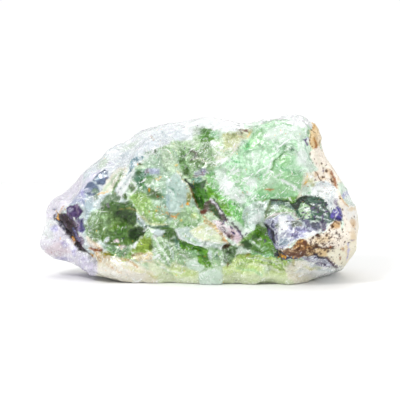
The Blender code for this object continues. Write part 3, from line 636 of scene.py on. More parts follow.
MINT_MASS = (
    face("mint_mass", Tint.MINT, "214,168 226,160 240,150 244,140 262,122 290,114 314,120 312,150 306,174 "
         "306,190 297,200 262,202 252,212 240,208 222,194 212,186", soft=1.5),
    face("mint_upper", Tint.MINT_MEDIUM, "246,148 250,136 262,130 267,133 262,146 252,150", soft=1.3,
         flat=0.4),
    face("mint_upper_left", Tint.MINT_DEEP, "244,150 246,142 250,138 251,144 248,152", soft=1.5,
         strength=0.8),
    face("mint_shoulder", Tint.MINT_WHITE, "262,138 268,130 282,123 296,124 302,130 300,140 288,142 274,142",
         soft=1.6, flat=0.4),
    stroke("mint_crest", Tint.MINT, 3, "256,130 264,126 276,123 290,124", soft=1.2),
    face("top_rim", Tint.SNOW, "258,126 266,114 300,108 318,112 314,128 302,129 292,123 278,121 268,123",
         soft=1),
    face("top_right_ice", Tint.MINT_WHITE, "296,132 306,130 311,142 312,168 304,172 296,158", soft=2,
         strength=0.85),
    spot("ice_white", Tint.SNOW, "302,158 6,7", soft=3, strength=0.6),
    face("white_field", Tint.MINT_WHITE, "214,170 226,166 236,174 232,184 246,192 248,202 238,204 224,194 "
         "214,184", soft=1.6),
    spot("white_field_core", Tint.SNOW, "226,186 8,5 -35", soft=2),
    spot("white_field_right", Tint.SNOW, "252,182 5,4", soft=2, strength=0.7),
    spot("white_field_low", Tint.SNOW, "236,200 7,3.4 -35", soft=1.5, strength=0.7),
    spot("white_field_upper", Tint.MINT_WHITE, "256,158 6,6 40", soft=2.5, strength=0.7),
    face("mint_facets", Tint.MINT_MEDIUM, "226,168 240,170 246,180 242,188 232,182 226,176", soft=1.5,
         strength=0.75),
    stroke("green_shard", Tint.MINT_DEEP, 2, "231,160 239,163", strength=1),
    stroke("green_shard_low", Tint.MINT_DEEP, 1.6, "242,188 248,195", strength=1),
    stroke("green_shard_edge", Tint.SNOW, 1.2, "244,188 250,195", strength=1),
    face("lower_plane", Tint.MINT_MEDIUM, "266,172 280,170 296,172 305,178 304,186 297,196 282,200 258,200 "
         "256,192 264,184", lift=0.1, flat=0.6),
    face("lower_plane_vivid", Tint.MINT_DEEP, "254,192 270,193 290,192 297,198 262,201", soft=2.5,
         strength=0.5),
    face("plane_pale", Tint.MINT_WHITE, "262,180 272,176 280,182 272,188", soft=2, strength=0.5),
    face("green_gap", Tint.VIVID, "283,199 290,196 299,196 297,201 292,205 288,202", strength=0.95),
    stroke("green_under", Tint.MOSS_BRIGHT, 1.6, "256,201 270,200 288,200", strength=0.7),
    face("v_plane", Tint.MINT_MEDIUM, "271,170 274,161 283,152 291,155 290,164 280,170", soft=1.2, lift=-0.1,
         flat=0.4),
    spot("v_shade", Tint.MINT_DEEP, "276,166 2.4,4 25", soft=1.4, strength=0.7),
    stroke("v_left", Tint.LEAF, 1.6, "271,171 275,162 281,154 287,151", strength=0.7),
    stroke("v_right", Tint.LEAF, 1.6, "285,147 291,151 293,150", strength=0.6),
    spot("v_knot", Tint.PETROL, "291,150 2.6,1.6", strength=0.7),
    stroke("v_inner", Tint.LEAF, 1.6, "280,160 286,159", strength=0.7),
    stroke("v_lower", Tint.MINT_DEEP, 2.2, "280,168 290,171 300,177", strength=0.7),
    stroke("crack_white_left", Tint.SNOW, 1.4, "272,158 269,170 264,176", strength=1),
    stroke("crack_white_upper", Tint.SNOW, 1.2, "274,177 284,172"),
    stroke("crack_white_right", Tint.SNOW, 2, "281,180 290,184 298,190", strength=1),
    stroke("vertical_green", Tint.MINT_DEEP, 1.8, "260,171 261,179"),
    stroke("rust_fleck", Tint.TAN, 1.7, "265,189 273,189", strength=1),
    stroke("right_line", Tint.TEAL_GREEN, 1.3, "303,146 308,155 312,160"),
    face("purple_spot", Tint.AMETHYST, "302,139 306,139 309,144 306,146 303,143", soft=0.7, strength=0.95),
    spot("purple_haze", Tint.LAVENDER, "308,138 2.4,2", soft=1, strength=0.7),
    face("yellow_zone", Tint.CREAM_WHITE, "304,173 313,172 315,184 306,186 299,200 296,199 301,188",
         soft=1.2, strength=0.9),
    spot("yellow_glow", Tint.STRAW, "309,180 3.6,2 -10", soft=1),
    face("white_mint", Tint.MINT_WHITE, "302,187 312,184 314,190 308,197 300,199", soft=1, flat=0.4),
    spot("white_mint_green", Tint.MINT_DEEP, "309,193 1.4,2.2 -30", strength=0.7),
    stroke("gold_line", Tint.GOLD, 1.3, "307,174 306,179 305,183", strength=1),
    stroke("teal_line", Tint.TEAL_GREEN, 1.4, "301,172 306,175", strength=0.6),
)

RIND = (
    face("rind_top", Tint.SAND, "311,133 313,122 318,118 328,128 322,141 319,149 313,151 310,143"),
    spot("rind_top_pale", Tint.BEIGE, "320,137 2.4,6 -10", soft=1.5, strength=0.6),
    stroke("rind_top_edge", Tint.TAN, 1.8, "313,128 317,125 323,131", soft=1),
    stroke("rind_top_dark", Tint.TAN, 3, "315,138 316,144 315,150", soft=1, strength=0.9),
    stroke("rind_top_rust", Tint.RUST, 1.3, "315,142 316,146 315,150", soft=0.8),
    face("rind_strip", Tint.BEIGE, "311,151 319,147 330,160 342,184 338,192 328,180 318,168 312,160"),
    stroke("strip_pale", Tint.CREAM_WHITE, 2.6, "315,152 319,162 326,168", soft=1.2, strength=0.6),
    face("rind_rust", Tint.BEIGE, "313,172 320,169 328,167 336,176 340,188 336,189 328,182 315,181",
         soft=1.2),
    spot("rind_rust_left", Tint.TAN, "317,174 3.4,2.4 20", soft=1, strength=0.5),
    spot("rind_rust_middle", Tint.TAN, "322,178 3,1.8 10", soft=1, strength=0.4),
    stroke("rind_rust_wide", Tint.TAN, 3, "328,170 332,178 337,187", soft=1, strength=0.5),
    stroke("rind_rust_edge", Tint.RUST, 1.8, "331,172 334,179 337,188", soft=0.8, strength=0.9),
    spot("rind_violet_dot", Tint.AMETHYST, "324,171 0.9,1.3", soft=0.7),
    face("pale_side", Tint.MINT_WHITE, "338,182 352,186 366,200 362,210 352,208 344,204 340,196", soft=1.2,
         strength=0.9),
    spot("pale_side_white", Tint.SNOW, "352,196 6,5 -30", soft=2, strength=0.7),
    spot("pale_side_lilac", Tint.LAVENDER, "345,194 2.4,3.2 -30", soft=1, strength=0.7),
    face("clear_lump", Tint.SNOW, "311,188 316,183 326,180 336,187 341,197 338,206 330,210 322,202 312,197",
         soft=0.9, lift=0.15),
    spot("clear_white", Tint.SNOW, "322,188 6,4 20", soft=2),
    stroke("clear_rim", Tint.PALE_BLUE, 1.2, "312,190 317,184 325,182 333,187", strength=0.6),
    stroke("clear_green", Tint.MOSS, 1.3, "318,193 323,193 328,195", soft=0.8, strength=0.6),
    spot("clear_gold", Tint.OLIVE_GOLD, "313,185 2.2,1.6 30", soft=1, strength=0.6),
    stroke("clear_shade", Tint.PALE_BLUE, 1.8, "333,190 332,198 330,206", soft=1, strength=0.7),
    stroke("clear_shade_left", Tint.TEAL_GREY, 1.2, "326,196 328,202 327,207", strength=0.5),
    face("strip_upper", Tint.BEIGE, "336,189 341,193 348,206 360,206 364,236 356,246 352,262 342,266 "
         "341,240 344,225 342,212 339,200", soft=0.9),
    spot("strip_white", Tint.SNOW, "352,212 8,9", soft=3, strength=0.6),
    spot("strip_white_low", Tint.CREAM_WHITE, "352,250 8,12", soft=3),
    stroke("strip_tan", Tint.TAN, 1.6, "341,196 344,202 348,206"),
    spot("strip_gold", Tint.SAND, "352,209 4,1.6 5", soft=1.2, strength=0.7),
    spot("strip_spot", Tint.TAN, "353,223 2.2,4.4 10", soft=1.2, strength=0.6),
    spot("strip_shade", Tint.SAND, "353,236 3,5", soft=2, strength=0.6),
    stroke("strip_lilac", Tint.LAVENDER, 1.5, "348,243 348,254 346,261", soft=0.9),
    spot("strip_violet", Tint.MAUVE, "352,240 2,1"),
)

KNOB = (
    face("mint_wedge", Tint.TEAL_WHITE, "245,208 253,202 268,202 266,214 262,222 253,230 246,226 243,217",
         soft=0.6, lift=0.15, flat=0.6),
    spot("wedge_white", Tint.SNOW, "256,217 6,3.4 20", soft=1.6, strength=0.6),
    spot("wedge_grey", Tint.GREY_GREEN, "258,206 5,2.4 10", soft=1.5, strength=0.5),
    stroke("wedge_edge", Tint.MOSS_BRIGHT, 1.2, "250,229 246,222 247,212", strength=0.5),
    face("left_crystal", Tint.GREY_GREEN, "269,202 274,200 288,200 294,205 300,214 290,215 280,214 270,218 "
         "262,220", soft=0.6, lift=0.2, flat=0.6),
    face("left_crystal_pale", Tint.CELADON, "273,206 289,206 293,211 280,211 269,215", soft=1,
         strength=0.85),
    spot("left_crystal_white", Tint.ICE, "276,207 2.4,2.4", soft=1),
    stroke("left_crystal_band", Tint.TEAL_DARK, 2.4, "272,204 282,204 292,207", strength=0.5),
    stroke("left_crystal_top", Tint.INK_GREEN, 2.4, "271,201 279,201 288,201 293,205", soft=0.8, strength=1),
    stroke("left_crystal_side", Tint.OLIVE_DARK, 1.4, "271,202 268,209 264,218"),
    stroke("left_crystal_line", Tint.ROSE, 1.3, "266,218 274,214 282,212 293,212 300,219", strength=0.85),
    face("right_crystal", Tint.PETROL, "292,206 297,199 304,196 315,196 324,203 332,212 337,220 326,222 "
         "318,218 310,221 302,220 297,213", soft=0.6, lift=0.15, flat=0.4),
    face("right_crystal_rim", Tint.INK_GREEN, "291,205 297,199 306,195 312,197 303,201 299,206 297,210",
         soft=0.7),
    stroke("right_crystal_rim_low", Tint.PINE, 2.6, "310,198 318,201 326,208 331,214", soft=0.8,
           strength=0.85),
    face("right_crystal_core", Tint.CELADON, "298,209 301,203 306,203 311,210 311,218 303,219",
         strength=0.95),
    spot("right_crystal_white", Tint.SNOW, "306,209 3,1.6 20", strength=1),
    stroke("right_crystal_ray", Tint.INK_GREEN, 1.6, "303,202 310,206 318,208 326,213", strength=0.9),
    stroke("right_crystal_ray_foot", Tint.PINE, 1.8, "310,219 314,218 320,219", strength=0.7),
    stroke("right_crystal_light", Tint.TEAL_WHITE, 1.2, "312,203 320,206 327,211"),
    stroke("right_crystal_light_low", Tint.TEAL_WHITE, 1.1, "313,211 321,211 328,215"),
    stroke("right_crystal_light_foot", Tint.ICE, 1.1, "316,216 323,216 331,219"),
    face("knob_face", Tint.PALE_VIOLET, "262,222 270,218 280,214 290,215 299,220 310,226 320,230 314,235 "
         "300,239 291,244 284,250 276,249 268,240 263,230", flat=0.35),
    face("knob_grey", Tint.SMOKE, "291,220 301,219 303,227 292,227", strength=0.85, flat=0.5),
    face("knob_petrol", Tint.SLATE_VIOLET, "301,218 310,221 310,228 304,228", soft=0.7, strength=0.9),
    stroke("knob_pale_line", Tint.ICE, 1.1, "299,218 303,224 309,230", strength=0.9),
    face("knob_dark", Tint.NAVY, "311,222 319,221 321,229 314,231 311,228", soft=0.7, strength=0.9),
    face("knob_cloud", Tint.SNOW, "279,216 287,215 290,222 286,231 279,235 277,228", soft=1.8, strength=0.9),
    face("knob_lavender", Tint.LAVENDER, "288,230 300,229 310,232 300,237 290,240", soft=1.6, strength=0.5),
    spot("knob_white_right", Tint.SNOW, "310,233 5,1.6 20", soft=0.9, strength=0.85),
    stroke("knob_ray_a", Tint.SNOW, 1.3, "274,233 284,236 294,238", strength=0.85),
    stroke("knob_ray_b", Tint.SNOW, 1.3, "281,230 279,238 281,247", strength=0.85),
    stroke("knob_ray_c", Tint.SNOW, 1.2, "288,232 296,232 306,235"),
    stroke("knob_shade_a", Tint.SLATE_VIOLET, 1.6, "291,228 300,230 310,231"),
    stroke("knob_shade_b", Tint.SLATE_VIOLET, 1.5, "277,237 278,243 283,248"),
    stroke("knob_shade_c", Tint.SLATE_VIOLET, 1.3, "287,237 293,236 301,234", strength=0.7),
    stroke("knob_shade_d", Tint.NAVY, 1.2, "283,244 288,246 291,242", strength=0.7),
    spot("knob_blue_low", Tint.TEAL_GREY, "284,242 6,3 20", soft=1.4, strength=0.6),
    face("knob_left", Tint.NAVY, "261,222 268,225 274,236 276,247 280,256 275,254 269,246 264,234", soft=0.9,
         strength=0.85),
    spot("knob_left_dark", Tint.INK_VIOLET, "266,227 3.4,3 -50", strength=1),
    stroke("knob_left_edge", Tint.NAVY, 1.8, "264,230 268,239 272,248", strength=0.9),
    stroke("knob_streak", Tint.NAVY, 2.4, "273,221 271,226 274,229", soft=0.8, strength=0.9),
    stroke("knob_streak_low", Tint.INK_VIOLET, 3, "271,230 274,237 274,243", soft=0.8, strength=0.95),
    stroke("knob_streak_light", Tint.SLATE_BLUE, 1.1, "268,232 271,241 277,247", strength=0.7),
    spot("knob_olive", Tint.SMOKE, "277,226 2.2,2.4", soft=0.9),
    face("brown_low", Tint.COCOA_ROSE, "276,249 286,249 296,248 314,247 312,256 296,258 284,256"),
    stroke("brown_low_light", Tint.SAND, 1.2, "280,250 289,251 298,253", strength=0.7),
    stroke("brown_low_dark", Tint.COCOA, 1.2, "283,253 292,254 304,254", strength=0.7),
    face("brown_middle", Tint.SAND, "306,243 328,244 347,246 346,262 334,264 320,257 306,257", soft=1.2),
    face("brown_gold", Tint.TAN, "292,248 297,241 303,239 311,245 312,250 298,251"),
    stroke("gold_dark", Tint.RUST, 1.8, "294,247 300,243 306,246"),
    face("brown_sand", Tint.BEIGE, "303,239 318,234 325,232 329,226 334,221 340,222 344,236 345,250 332,250 "
         "318,246 310,244", soft=0.9),
    spot("sand_tan", Tint.SAND, "322,240 10,4 15", soft=2.5, strength=0.7),
    face("brown_pale", Tint.CREAM_WHITE, "328,251 345,246 347,264 338,266 328,257", soft=1.2),
    face("brown_cap", Tint.TAN, "330,223 336,220 341,222 340,228 332,229", soft=0.9, strength=0.8),
    stroke("cap_dark", Tint.COCOA, 1.4, "331,225 335,222 339,224"),
    stroke("brown_dark", Tint.COCOA, 2.2, "309,250 317,247 326,248 334,249", soft=0.8, strength=0.95),
    stroke("brown_dark_core", Tint.PLUM, 1, "313,248 322,248 329,249", strength=0.7),
    stroke("brown_dark_low", Tint.COCOA, 1.8, "300,255 310,256 320,253", soft=0.8),
    stroke("brown_vein", Tint.RUST, 1.6, "298,250 306,249 312,251", soft=0.8),
    spot("pit_middle", Tint.RUST_DARK, "305,243 1.8,1.8", strength=0.9),
    spot("pit_upper", Tint.COCOA, "318,235 2.2,2.4 20", strength=1),
    stroke("pit_right", Tint.INK_GREEN, 1.2, "336,231 340,236"),
    spot("pit_rust", Tint.RUST, "331,246 1.8,1.4", soft=0.7, strength=1),
    spot("pit_low", Tint.RUST, "340,258 0.9,1.5", soft=0.7),
    spot("pit_edge", Tint.RUST, "343,249 0.9,2", soft=0.7, strength=0.7),
    face("knob_keel", Tint.INK_VIOLET, "271,248 279,249 285,255 288,260 282,261 276,257", soft=0.7),
    stroke("knob_keel_line", Tint.NAVY, 2.4, "282,258 294,259 305,259", strength=1),
    stroke("knob_border", Tint.SNOW, 1.6, "284,249 291,242 300,239 307,237 318,232 326,226 333,222",
           strength=1, lift=0.25),
    face("blue_violet", Tint.BLUE_VIOLET, "331,212 336,206 341,209 343,216 341,222 334,219 331,216"),
    spot("blue_violet_light", Tint.LAVENDER, "335,211 1.8,1.8", strength=0.7),
    spot("blue_violet_white", Tint.SNOW, "336,215 1.1,0.9", soft=0.6),
    stroke("indigo_edge", Tint.INDIGO, 1.8, "338,204 341,211 342,216", soft=0.6, strength=1),
    stroke("indigo_low", Tint.INDIGO, 1.8, "334,217 341,221", soft=0.6, strength=1),
    stroke("indigo_white", Tint.SNOW, 1, "334,207 338,213 335,219"),
    stroke("indigo_white_right", Tint.LAVENDER, 1, "339,206 342,214", strength=0.7),
    spot("violet_upper", Tint.MAUVE, "337,202 1.8,3.6", soft=1, strength=0.7),
    face("violet_middle", Tint.AMETHYST, "319,219 327,220 326,230 321,232", strength=0.85),
    face("purple_low", Tint.PALE_VIOLET, "303,259 314,256 326,257 337,266 330,269 318,268 308,263", soft=1,
         strength=0.9),
    spot("purple_low_white", Tint.LILAC_SNOW, "318,262 4.4,1.2 -20", strength=0.9),
    stroke("purple_low_grey", Tint.MAUVE, 1.5, "308,260 318,265 328,267", strength=0.7),
    stroke("purple_dark", Tint.INK_VIOLET, 2.6, "314,254 320,257 326,259", strength=1),
    stroke("purple_dark_low", Tint.AUBERGINE, 2.6, "327,259 331,263 336,267", strength=1),
)

LOWER_EDGE = (
    # Pale lime along the bottom edge: partly the stone's own colour, partly painted light where the lower
    # edge glows.
    face("bottom_lime", Tint.LIME_WHITE, "148,260 176,260 190,268 200,272 200,286 150,286", soft=1.6),
    face("bottom_green", Tint.LIME_PALE, "168,262 180,266 198,272 198,278 178,277 166,270", soft=2,
         strength=0.75),
    stroke("bottom_streak_a", Tint.CELADON, 1.6, "156,262 164,268 172,274", strength=0.6),
    stroke("bottom_streak_b", Tint.SNOW, 1.4, "160,266 170,270 182,273", strength=0.7),
    face("cream_foot", Tint.CREAM_WHITE, "98,264 110,257 124,258 140,265 154,272 158,286 96,282", soft=1.8),
    face("cream_pink", Tint.LILAC_SNOW, "100,268 112,265 126,270 146,274 140,282 106,278", soft=2.5,
         strength=0.3),
    face("lime_left", Tint.YELLOW_GREEN, "120,257 124,258 132,250 142,252 136,260 122,262", soft=1.3,
         strength=0.75),
    face("pink_field", Tint.SAND, "131,256 140,252 153,253 154,262 140,263", soft=1.2, strength=0.75),
    stroke("pink_fibre_a", Tint.CREAM_WHITE, 1.1, "134,259 142,256 150,257", strength=0.9),
    stroke("pink_fibre_b", Tint.COCOA_ROSE, 1, "132,256 138,254 144,253", strength=0.6),
    stroke("pink_fibre_c", Tint.ICE, 1.1, "138,262 146,260 153,261"),
    stroke("gold_streak", Tint.TAN, 1.5, "120,258 130,261 138,267", soft=0.8, strength=0.9),
    stroke("gold_streak_low", Tint.TAN, 1.1, "104,262 112,268 122,273", strength=0.6),
    stroke("foot_wisp_a", Tint.TAN, 1, "108,257 110,264 114,270", strength=0.6),
    stroke("foot_wisp_b", Tint.OLIVE_GOLD, 1.2, "112,257 115,263 116,268", strength=0.5),
    stroke("foot_wisp_c", Tint.SNOW, 1.4, "110,258 118,264 128,271"),
    stroke("foot_wisp_d", Tint.SNOW, 1.2, "124,262 134,269 146,273"),
    stroke("straw_streak", Tint.STRAW, 2, "126,266 136,270 150,274", soft=1.2, strength=0.7),
    spot("straw_corner", Tint.STRAW, "154,277 4,2 -20", soft=1.2),
    face("olive_wedge", Tint.OLIVE, "145,234 151,234 153,252 141,253 132,251 138,243 141,238", soft=0.7,
         lift=0.2, flat=0.6),
    face("wedge_cap", Tint.CELADON, "145,231 150,229 153,236 147,239"),
    spot("wedge_dark", Tint.OLIVE_DARK, "151,247 2,3", soft=0.9, strength=0.9),
    stroke("wedge_white", Tint.SNOW, 1.6, "144,231 149,228 154,233 156,238", strength=1, lift=0.15),
    face("green_behind", Tint.MOSS, "156,230 166,226 174,228 178,236 178,245 170,241 162,238", soft=1,
         lift=-0.15),
    stroke("green_lintel", Tint.PETROL, 2.2, "146,226 156,228 168,226", soft=0.8, strength=0.85),
    face("white_flake", Tint.ICE, "151,230 158,229 165,231 161,236 154,236", soft=0.7, lift=0.15),
    stroke("flake_shade", Tint.SMOKE, 1.2, "153,236 158,236 163,234", strength=0.7),
    face("teal_corner", Tint.TEAL_GREEN, "173,236 179,240 182,250 176,250", soft=1, strength=0.75),
    face("streaky_shard", Tint.CELADON, "152,237 158,238 168,240 173,247 176,260 168,266 160,262 154,252",
         soft=0.7, lift=0.25, flat=0.5),
    stroke("shard_green", Tint.HAZE_GREEN, 2.8, "160,242 167,250 172,258", soft=0.8),
    stroke("shard_green_left", Tint.HAZE_GREEN, 2, "155,246 160,254", soft=0.8),
    stroke("shard_green_right", Tint.HAZE_GREEN, 2.2, "164,240 171,246 175,254"),
    stroke("shard_white", Tint.SNOW, 1.3, "153,236 159,246 166,254 168,262", strength=1),
    stroke("shard_white_left", Tint.SNOW, 1.3, "154,249 158,256 164,262", strength=0.9),
    stroke("shard_white_right", Tint.ICE, 1.2, "166,243 172,251 174,259", strength=1),
    face("low_middle", Tint.CELADON, "175,248 184,250 196,254 202,264 206,270 190,268 178,262", soft=1.2),
    face("low_ice", Tint.MINT_WHITE, "184,262 196,259 204,268 200,271 188,268", flat=0.4),
    stroke("low_line", Tint.SNOW, 1.1, "180,254 188,259 196,263", strength=0.7),
    face("pale_wedge", Tint.TEAL_WHITE, "175,228 190,227 194,236 206,241 202,248 190,245 181,241 177,236",
         soft=0.5, lift=0.35, flat=0.6),
    stroke("pale_wedge_shade", Tint.CELADON, 1.8, "182,232 188,238 196,243", strength=0.9),
    stroke("pale_wedge_edge", Tint.SNOW, 1.4, "176,229 179,237 186,243 196,246", strength=0.9),
    face("cream_wedge", Tint.LIME_WHITE, "190,232 196,226 206,222 218,230 227,243 216,244 204,241 195,238",
         soft=0.5, lift=0.45, flat=0.6),
    spot("cream_wedge_gold", Tint.STRAW, "199,228 5,2.2 30", soft=1.2, strength=0.7),
    spot("cream_wedge_green", Tint.CELADON_PALE, "212,238 6,2.2 -20", soft=1.2, strength=0.6),
    stroke("cream_wedge_edge", Tint.TAN, 1.3, "204,220 212,227 220,234 227,243", strength=0.95),
    face("under_wedge", Tint.TEAL_WHITE, "200,244 208,241 226,245 222,249 208,248", strength=0.9),
    stroke("under_wedge_white", Tint.SNOW, 1.4, "200,246 210,244 222,247"),
    face("crescent", Tint.VIVID, "177,239 184,243 193,246 201,247 207,250 208,260 213,268 206,268 198,262 "
         "196,255 187,251 181,249", lift=-0.2),
    stroke("crescent_dark", Tint.LEAF, 2.2, "180,244 190,248 200,250 203,258 207,264", strength=0.9),
    face("crescent_inset", Tint.MINT_MEDIUM, "187,250 196,251 197,256 190,255", soft=0.7, strength=0.85),
    face("bead", Tint.CELADON, "207,249 211,247 220,248 223,257 220,266 213,267 208,260", lift=0.15),
    spot("bead_ice", Tint.ICE, "210,255 1.8,5", soft=1, strength=0.9),
    spot("bead_green", Tint.TEAL_GREEN, "216,256 2.2,4", soft=1.2, strength=0.6),
    # Near-white low block: partly its own pale colour, partly painted light on its downward-facing side.
    face("low_block", Tint.MINT_WHITE, "199,272 214,269 224,273 222,284 212,288 199,286", soft=1.0, lift=0.3,
         flat=0.5),
    face("slab", Tint.LIME_PALE, "222,268 232,258 250,252 280,260 300,268 306,276 296,288 224,288",
         soft=1.2),
    # Paler foot of the slab: partly its own lime, partly painted light on the downward-facing lower edge.
    face("slab_foot", Tint.LIME_WHITE, "222,275 240,272 262,273 290,276 304,276 298,290 224,290", soft=2.5,
         strength=0.8),
    face("slab_upper", Tint.LIME, "236,256 252,251 284,260 300,268 276,266 250,262", soft=1, lift=0.2,
         flat=0.4),
    stroke("slab_green", Tint.MINT_DEEP, 2, "250,252 268,255 284,260 294,266", soft=0.8, strength=0.9),
    stroke("slab_green_low", Tint.VIVID_SOFT, 1.4, "252,256 270,262 286,269", strength=0.7),
    stroke("slab_line_a", Tint.SNOW, 1.1, "248,257 266,260 284,266", strength=0.75),
    stroke("slab_line_b", Tint.YELLOW_GREEN, 1.3, "242,260 262,263 282,270", strength=0.75),
    stroke("slab_line_c", Tint.LIME_WHITE, 1.4, "240,263 262,267 284,273", strength=0.85),
    stroke("slab_line_d", Tint.MINT_MEDIUM, 1.8, "236,268 254,271 262,275", strength=0.7),
    stroke("slab_line_e", Tint.LIME_WHITE, 1.1, "262,258 276,262 292,270", strength=0.85),
    stroke("slab_line_f", Tint.SNOW, 1, "256,262 270,267 280,272", strength=0.6),
    spot("slab_lime", Tint.VIVID_SOFT, "242,265 6,3 20", soft=2, strength=0.4),
    spot("slab_ice", Tint.MINT_WHITE, "266,270 4,3", soft=2, strength=0.6),
    spot("slab_olive", Tint.OLIVE_GOLD, "248,254 3,1.8 20", strength=0.9),
    face("vivid_field", Tint.VIVID_SOFT, "238,241 250,232 259,224 265,234 272,248 282,259 264,253 248,249",
         soft=1.2),
    face("vivid_dark", Tint.LEAF_DARK, "240,241 248,239 253,246 250,250 242,248", soft=1, strength=0.85),
    spot("vivid_dark_upper", Tint.LEAF_DARK, "256,236 4.6,3.6 30", soft=1.2),
    stroke("vivid_bright", Tint.VIVID, 3.6, "257,230 263,240 270,251", soft=1),
    stroke("vivid_light", Tint.MINT_MEDIUM, 1.5, "249,239 256,245 264,250", strength=0.9),
    stroke("vivid_white", Tint.MINT_WHITE, 1.1, "251,240 256,244 262,249", strength=0.85),
    stroke("vivid_low", Tint.LEAF, 1.6, "254,249 264,252 276,257", strength=0.6),
    face("wall", Tint.MOSS, "222,246 230,243 238,247 236,256 230,264 224,264", soft=1.2, strength=0.85),
    spot("wall_brown", Tint.COCOA, "227,246 4.6,1.8 20", strength=0.9),
    spot("wall_dark", Tint.DEEP_BOTTLE, "229,251 3,3.4", soft=1, strength=0.95),
    spot("wall_cream", Tint.CREAM, "240,244 3.6,1.4 -10"),
    spot("wall_rust", Tint.RUST_DARK, "227,265 1.2,2", soft=0.7, strength=0.85),
    # Cream-white foot and its white spot: partly their own pale colour, partly painted light on the
    # downward-facing foot, where the lower edge glows.
    face("right_foot", Tint.CREAM_WHITE, "286,264 304,262 322,268 350,262 350,282 300,288 288,278",
         soft=1.5),
    spot("foot_glow", Tint.SNOW, "326,272 24,9 -8", soft=5, strength=0.9),
    spot("foot_olive", Tint.OLIVE_GOLD, "294,264 2.4,3 -20", soft=1, strength=0.7),
    spot("foot_green", Tint.GREY_GREEN, "301,262 4,1.8", soft=1, strength=0.7),
    stroke("foot_tan", Tint.STRAW, 1.6, "304,268 311,270 320,270", strength=0.7),
    spot("foot_white", Tint.SNOW, "299,272 4,1.8 10", soft=1, strength=0.9),
    stroke("foot_grey", Tint.PALE_BLUE, 1.6, "310,267 320,271 332,272", strength=0.5),
)

FRONT_MARKS = (
    GROUND + UPPER_MIDDLE + UPPER_LEFT + MINT_MASS + LEFT_TIP + BOWL + CENTRE + RIDGE + RIND
    + LOWER_EDGE + KNOB
)

# These marks stay on the photographed side; the others run through to the back.
FRONT_ONLY = GROUND + RIND + KNOB


EGG_SOFT = 3.0


@dataclass(frozen=True)
class Sprinkle:
    """How thickly flecks of one layer lie in a shape, from 0 to 1."""

    layer: Layer
    level: float
    shape: Shape


def eggs(layer: Layer, level: float,
         *places: tuple[str, float, float, float, float, float]) -> tuple[Sprinkle, ...]:
    """Egg-shaped sprinklings: name, across, down, half width, half height and turn."""
    return tuple(
        Sprinkle(layer, level, Spot(name, EGG_SOFT, (across, down), (wide, high), turn))
        for name, across, down, wide, high, turn in places
    )


SPRINKLES = (
    eggs(Layer.FROST, 0.85, ("band", 140, 146, 56, 16, 33), ("mint_left", 236, 188, 26, 18, -30),
         ("groove", 140, 158, 6, 8, 40), ("clear", 326, 194, 14, 12, 0),
         ("pale_side", 354, 198, 10, 14, -30))
    + eggs(Layer.FROST, 0.6, ("shard", 164, 250, 12, 14, -50), ("field", 216, 150, 24, 16, -10),
           ("shoulder", 288, 136, 24, 14, 0), ("wedge", 256, 214, 10, 12, 30),
           ("wedges", 205, 236, 26, 8, -20), ("crystals", 304, 212, 30, 12, -15),
           ("knob_low", 318, 262, 18, 6, -20))
    + eggs(Layer.FROST, 0.45, ("knob_face", 288, 232, 26, 18, 10),
           ("mint_right", 278, 182, 22, 18, 0), ("tip", 60, 240, 24, 26, 0),
           ("left_faces", 92, 202, 14, 18, 30), ("foot", 120, 262, 30, 8, -10))
    + eggs(Layer.FROST, -0.3, ("bowl", 120, 228, 20, 18, 0), ("window", 98, 182, 12, 8, 35),
           ("right_face", 176, 196, 10, 18, 15), ("ridge", 208, 198, 8, 14, 40),
           ("hexagon", 76, 212, 8, 8, 0), ("violet", 80, 226, 5, 9, 0),
           ("dark_tip", 66, 226, 9, 14, -35), ("olive", 146, 242, 8, 10, 0),
           ("crescent", 200, 254, 8, 8, 0))
    + eggs(Layer.RUST, 0.3, ("specks", 172, 212, 26, 8, -10), ("crest", 244, 132, 10, 4, 0),
           ("ridge_foot", 214, 216, 16, 4, -45), ("tip_top", 60, 212, 8, 5, 40),
           ("bowl_foot", 122, 250, 14, 6, 0), ("tip_foot", 100, 254, 16, 7, -20))
    + eggs(Layer.RUST, 0.2, ("centre", 160, 180, 20, 10, 0), ("field", 228, 148, 16, 12, 0),
           ("line", 192, 190, 8, 20, -25), ("cream", 130, 268, 28, 6, -8))
    + eggs(Layer.RUST, 0.7, ("under_knob", 300, 250, 24, 9, 15))
    + eggs(Layer.RUST, 0.45, ("under_knob_right", 328, 238, 14, 12, 20),
           ("rind_rust_low", 330, 184, 5, 5, 0))
    + eggs(Layer.RUST, 0.25, ("rind_top", 318, 136, 8, 14, 0))
    + eggs(Layer.DUSK, 0.6, ("knob_left", 268, 232, 8, 14, -25), ("low", 322, 262, 16, 6, -25),
           ("crystals", 316, 212, 18, 12, -20), ("tip", 70, 222, 12, 14, -30),
           ("fin", 226, 226, 20, 6, -45))
    + eggs(Layer.DUSK, 0.4, ("rough", 198, 164, 14, 14, 0), ("knob", 292, 228, 20, 12, 0),
           ("rough_left", 186, 158, 8, 14, 0))
)

# Where the photograph shows the rind.
RIND_SHAPES = (
    Face("rind_ribbon", 0.9, pairs("311,142 312,122 318,112 334,122 330,150 344,180 341,196 350,206 "
          "366,206 366,250 352,268 340,268 343,240 344,222 341,208 336,190 326,182 314,181 313,172 "
          "318,168 311,160")),
    Face("knob_under", 0.8, pairs("281,250 287,249 292,247 297,240 303,239 318,234 325,232 329,226 "
          "334,221 342,222 346,240 346,264 338,266 328,256 312,256 296,258 287,256")),
)

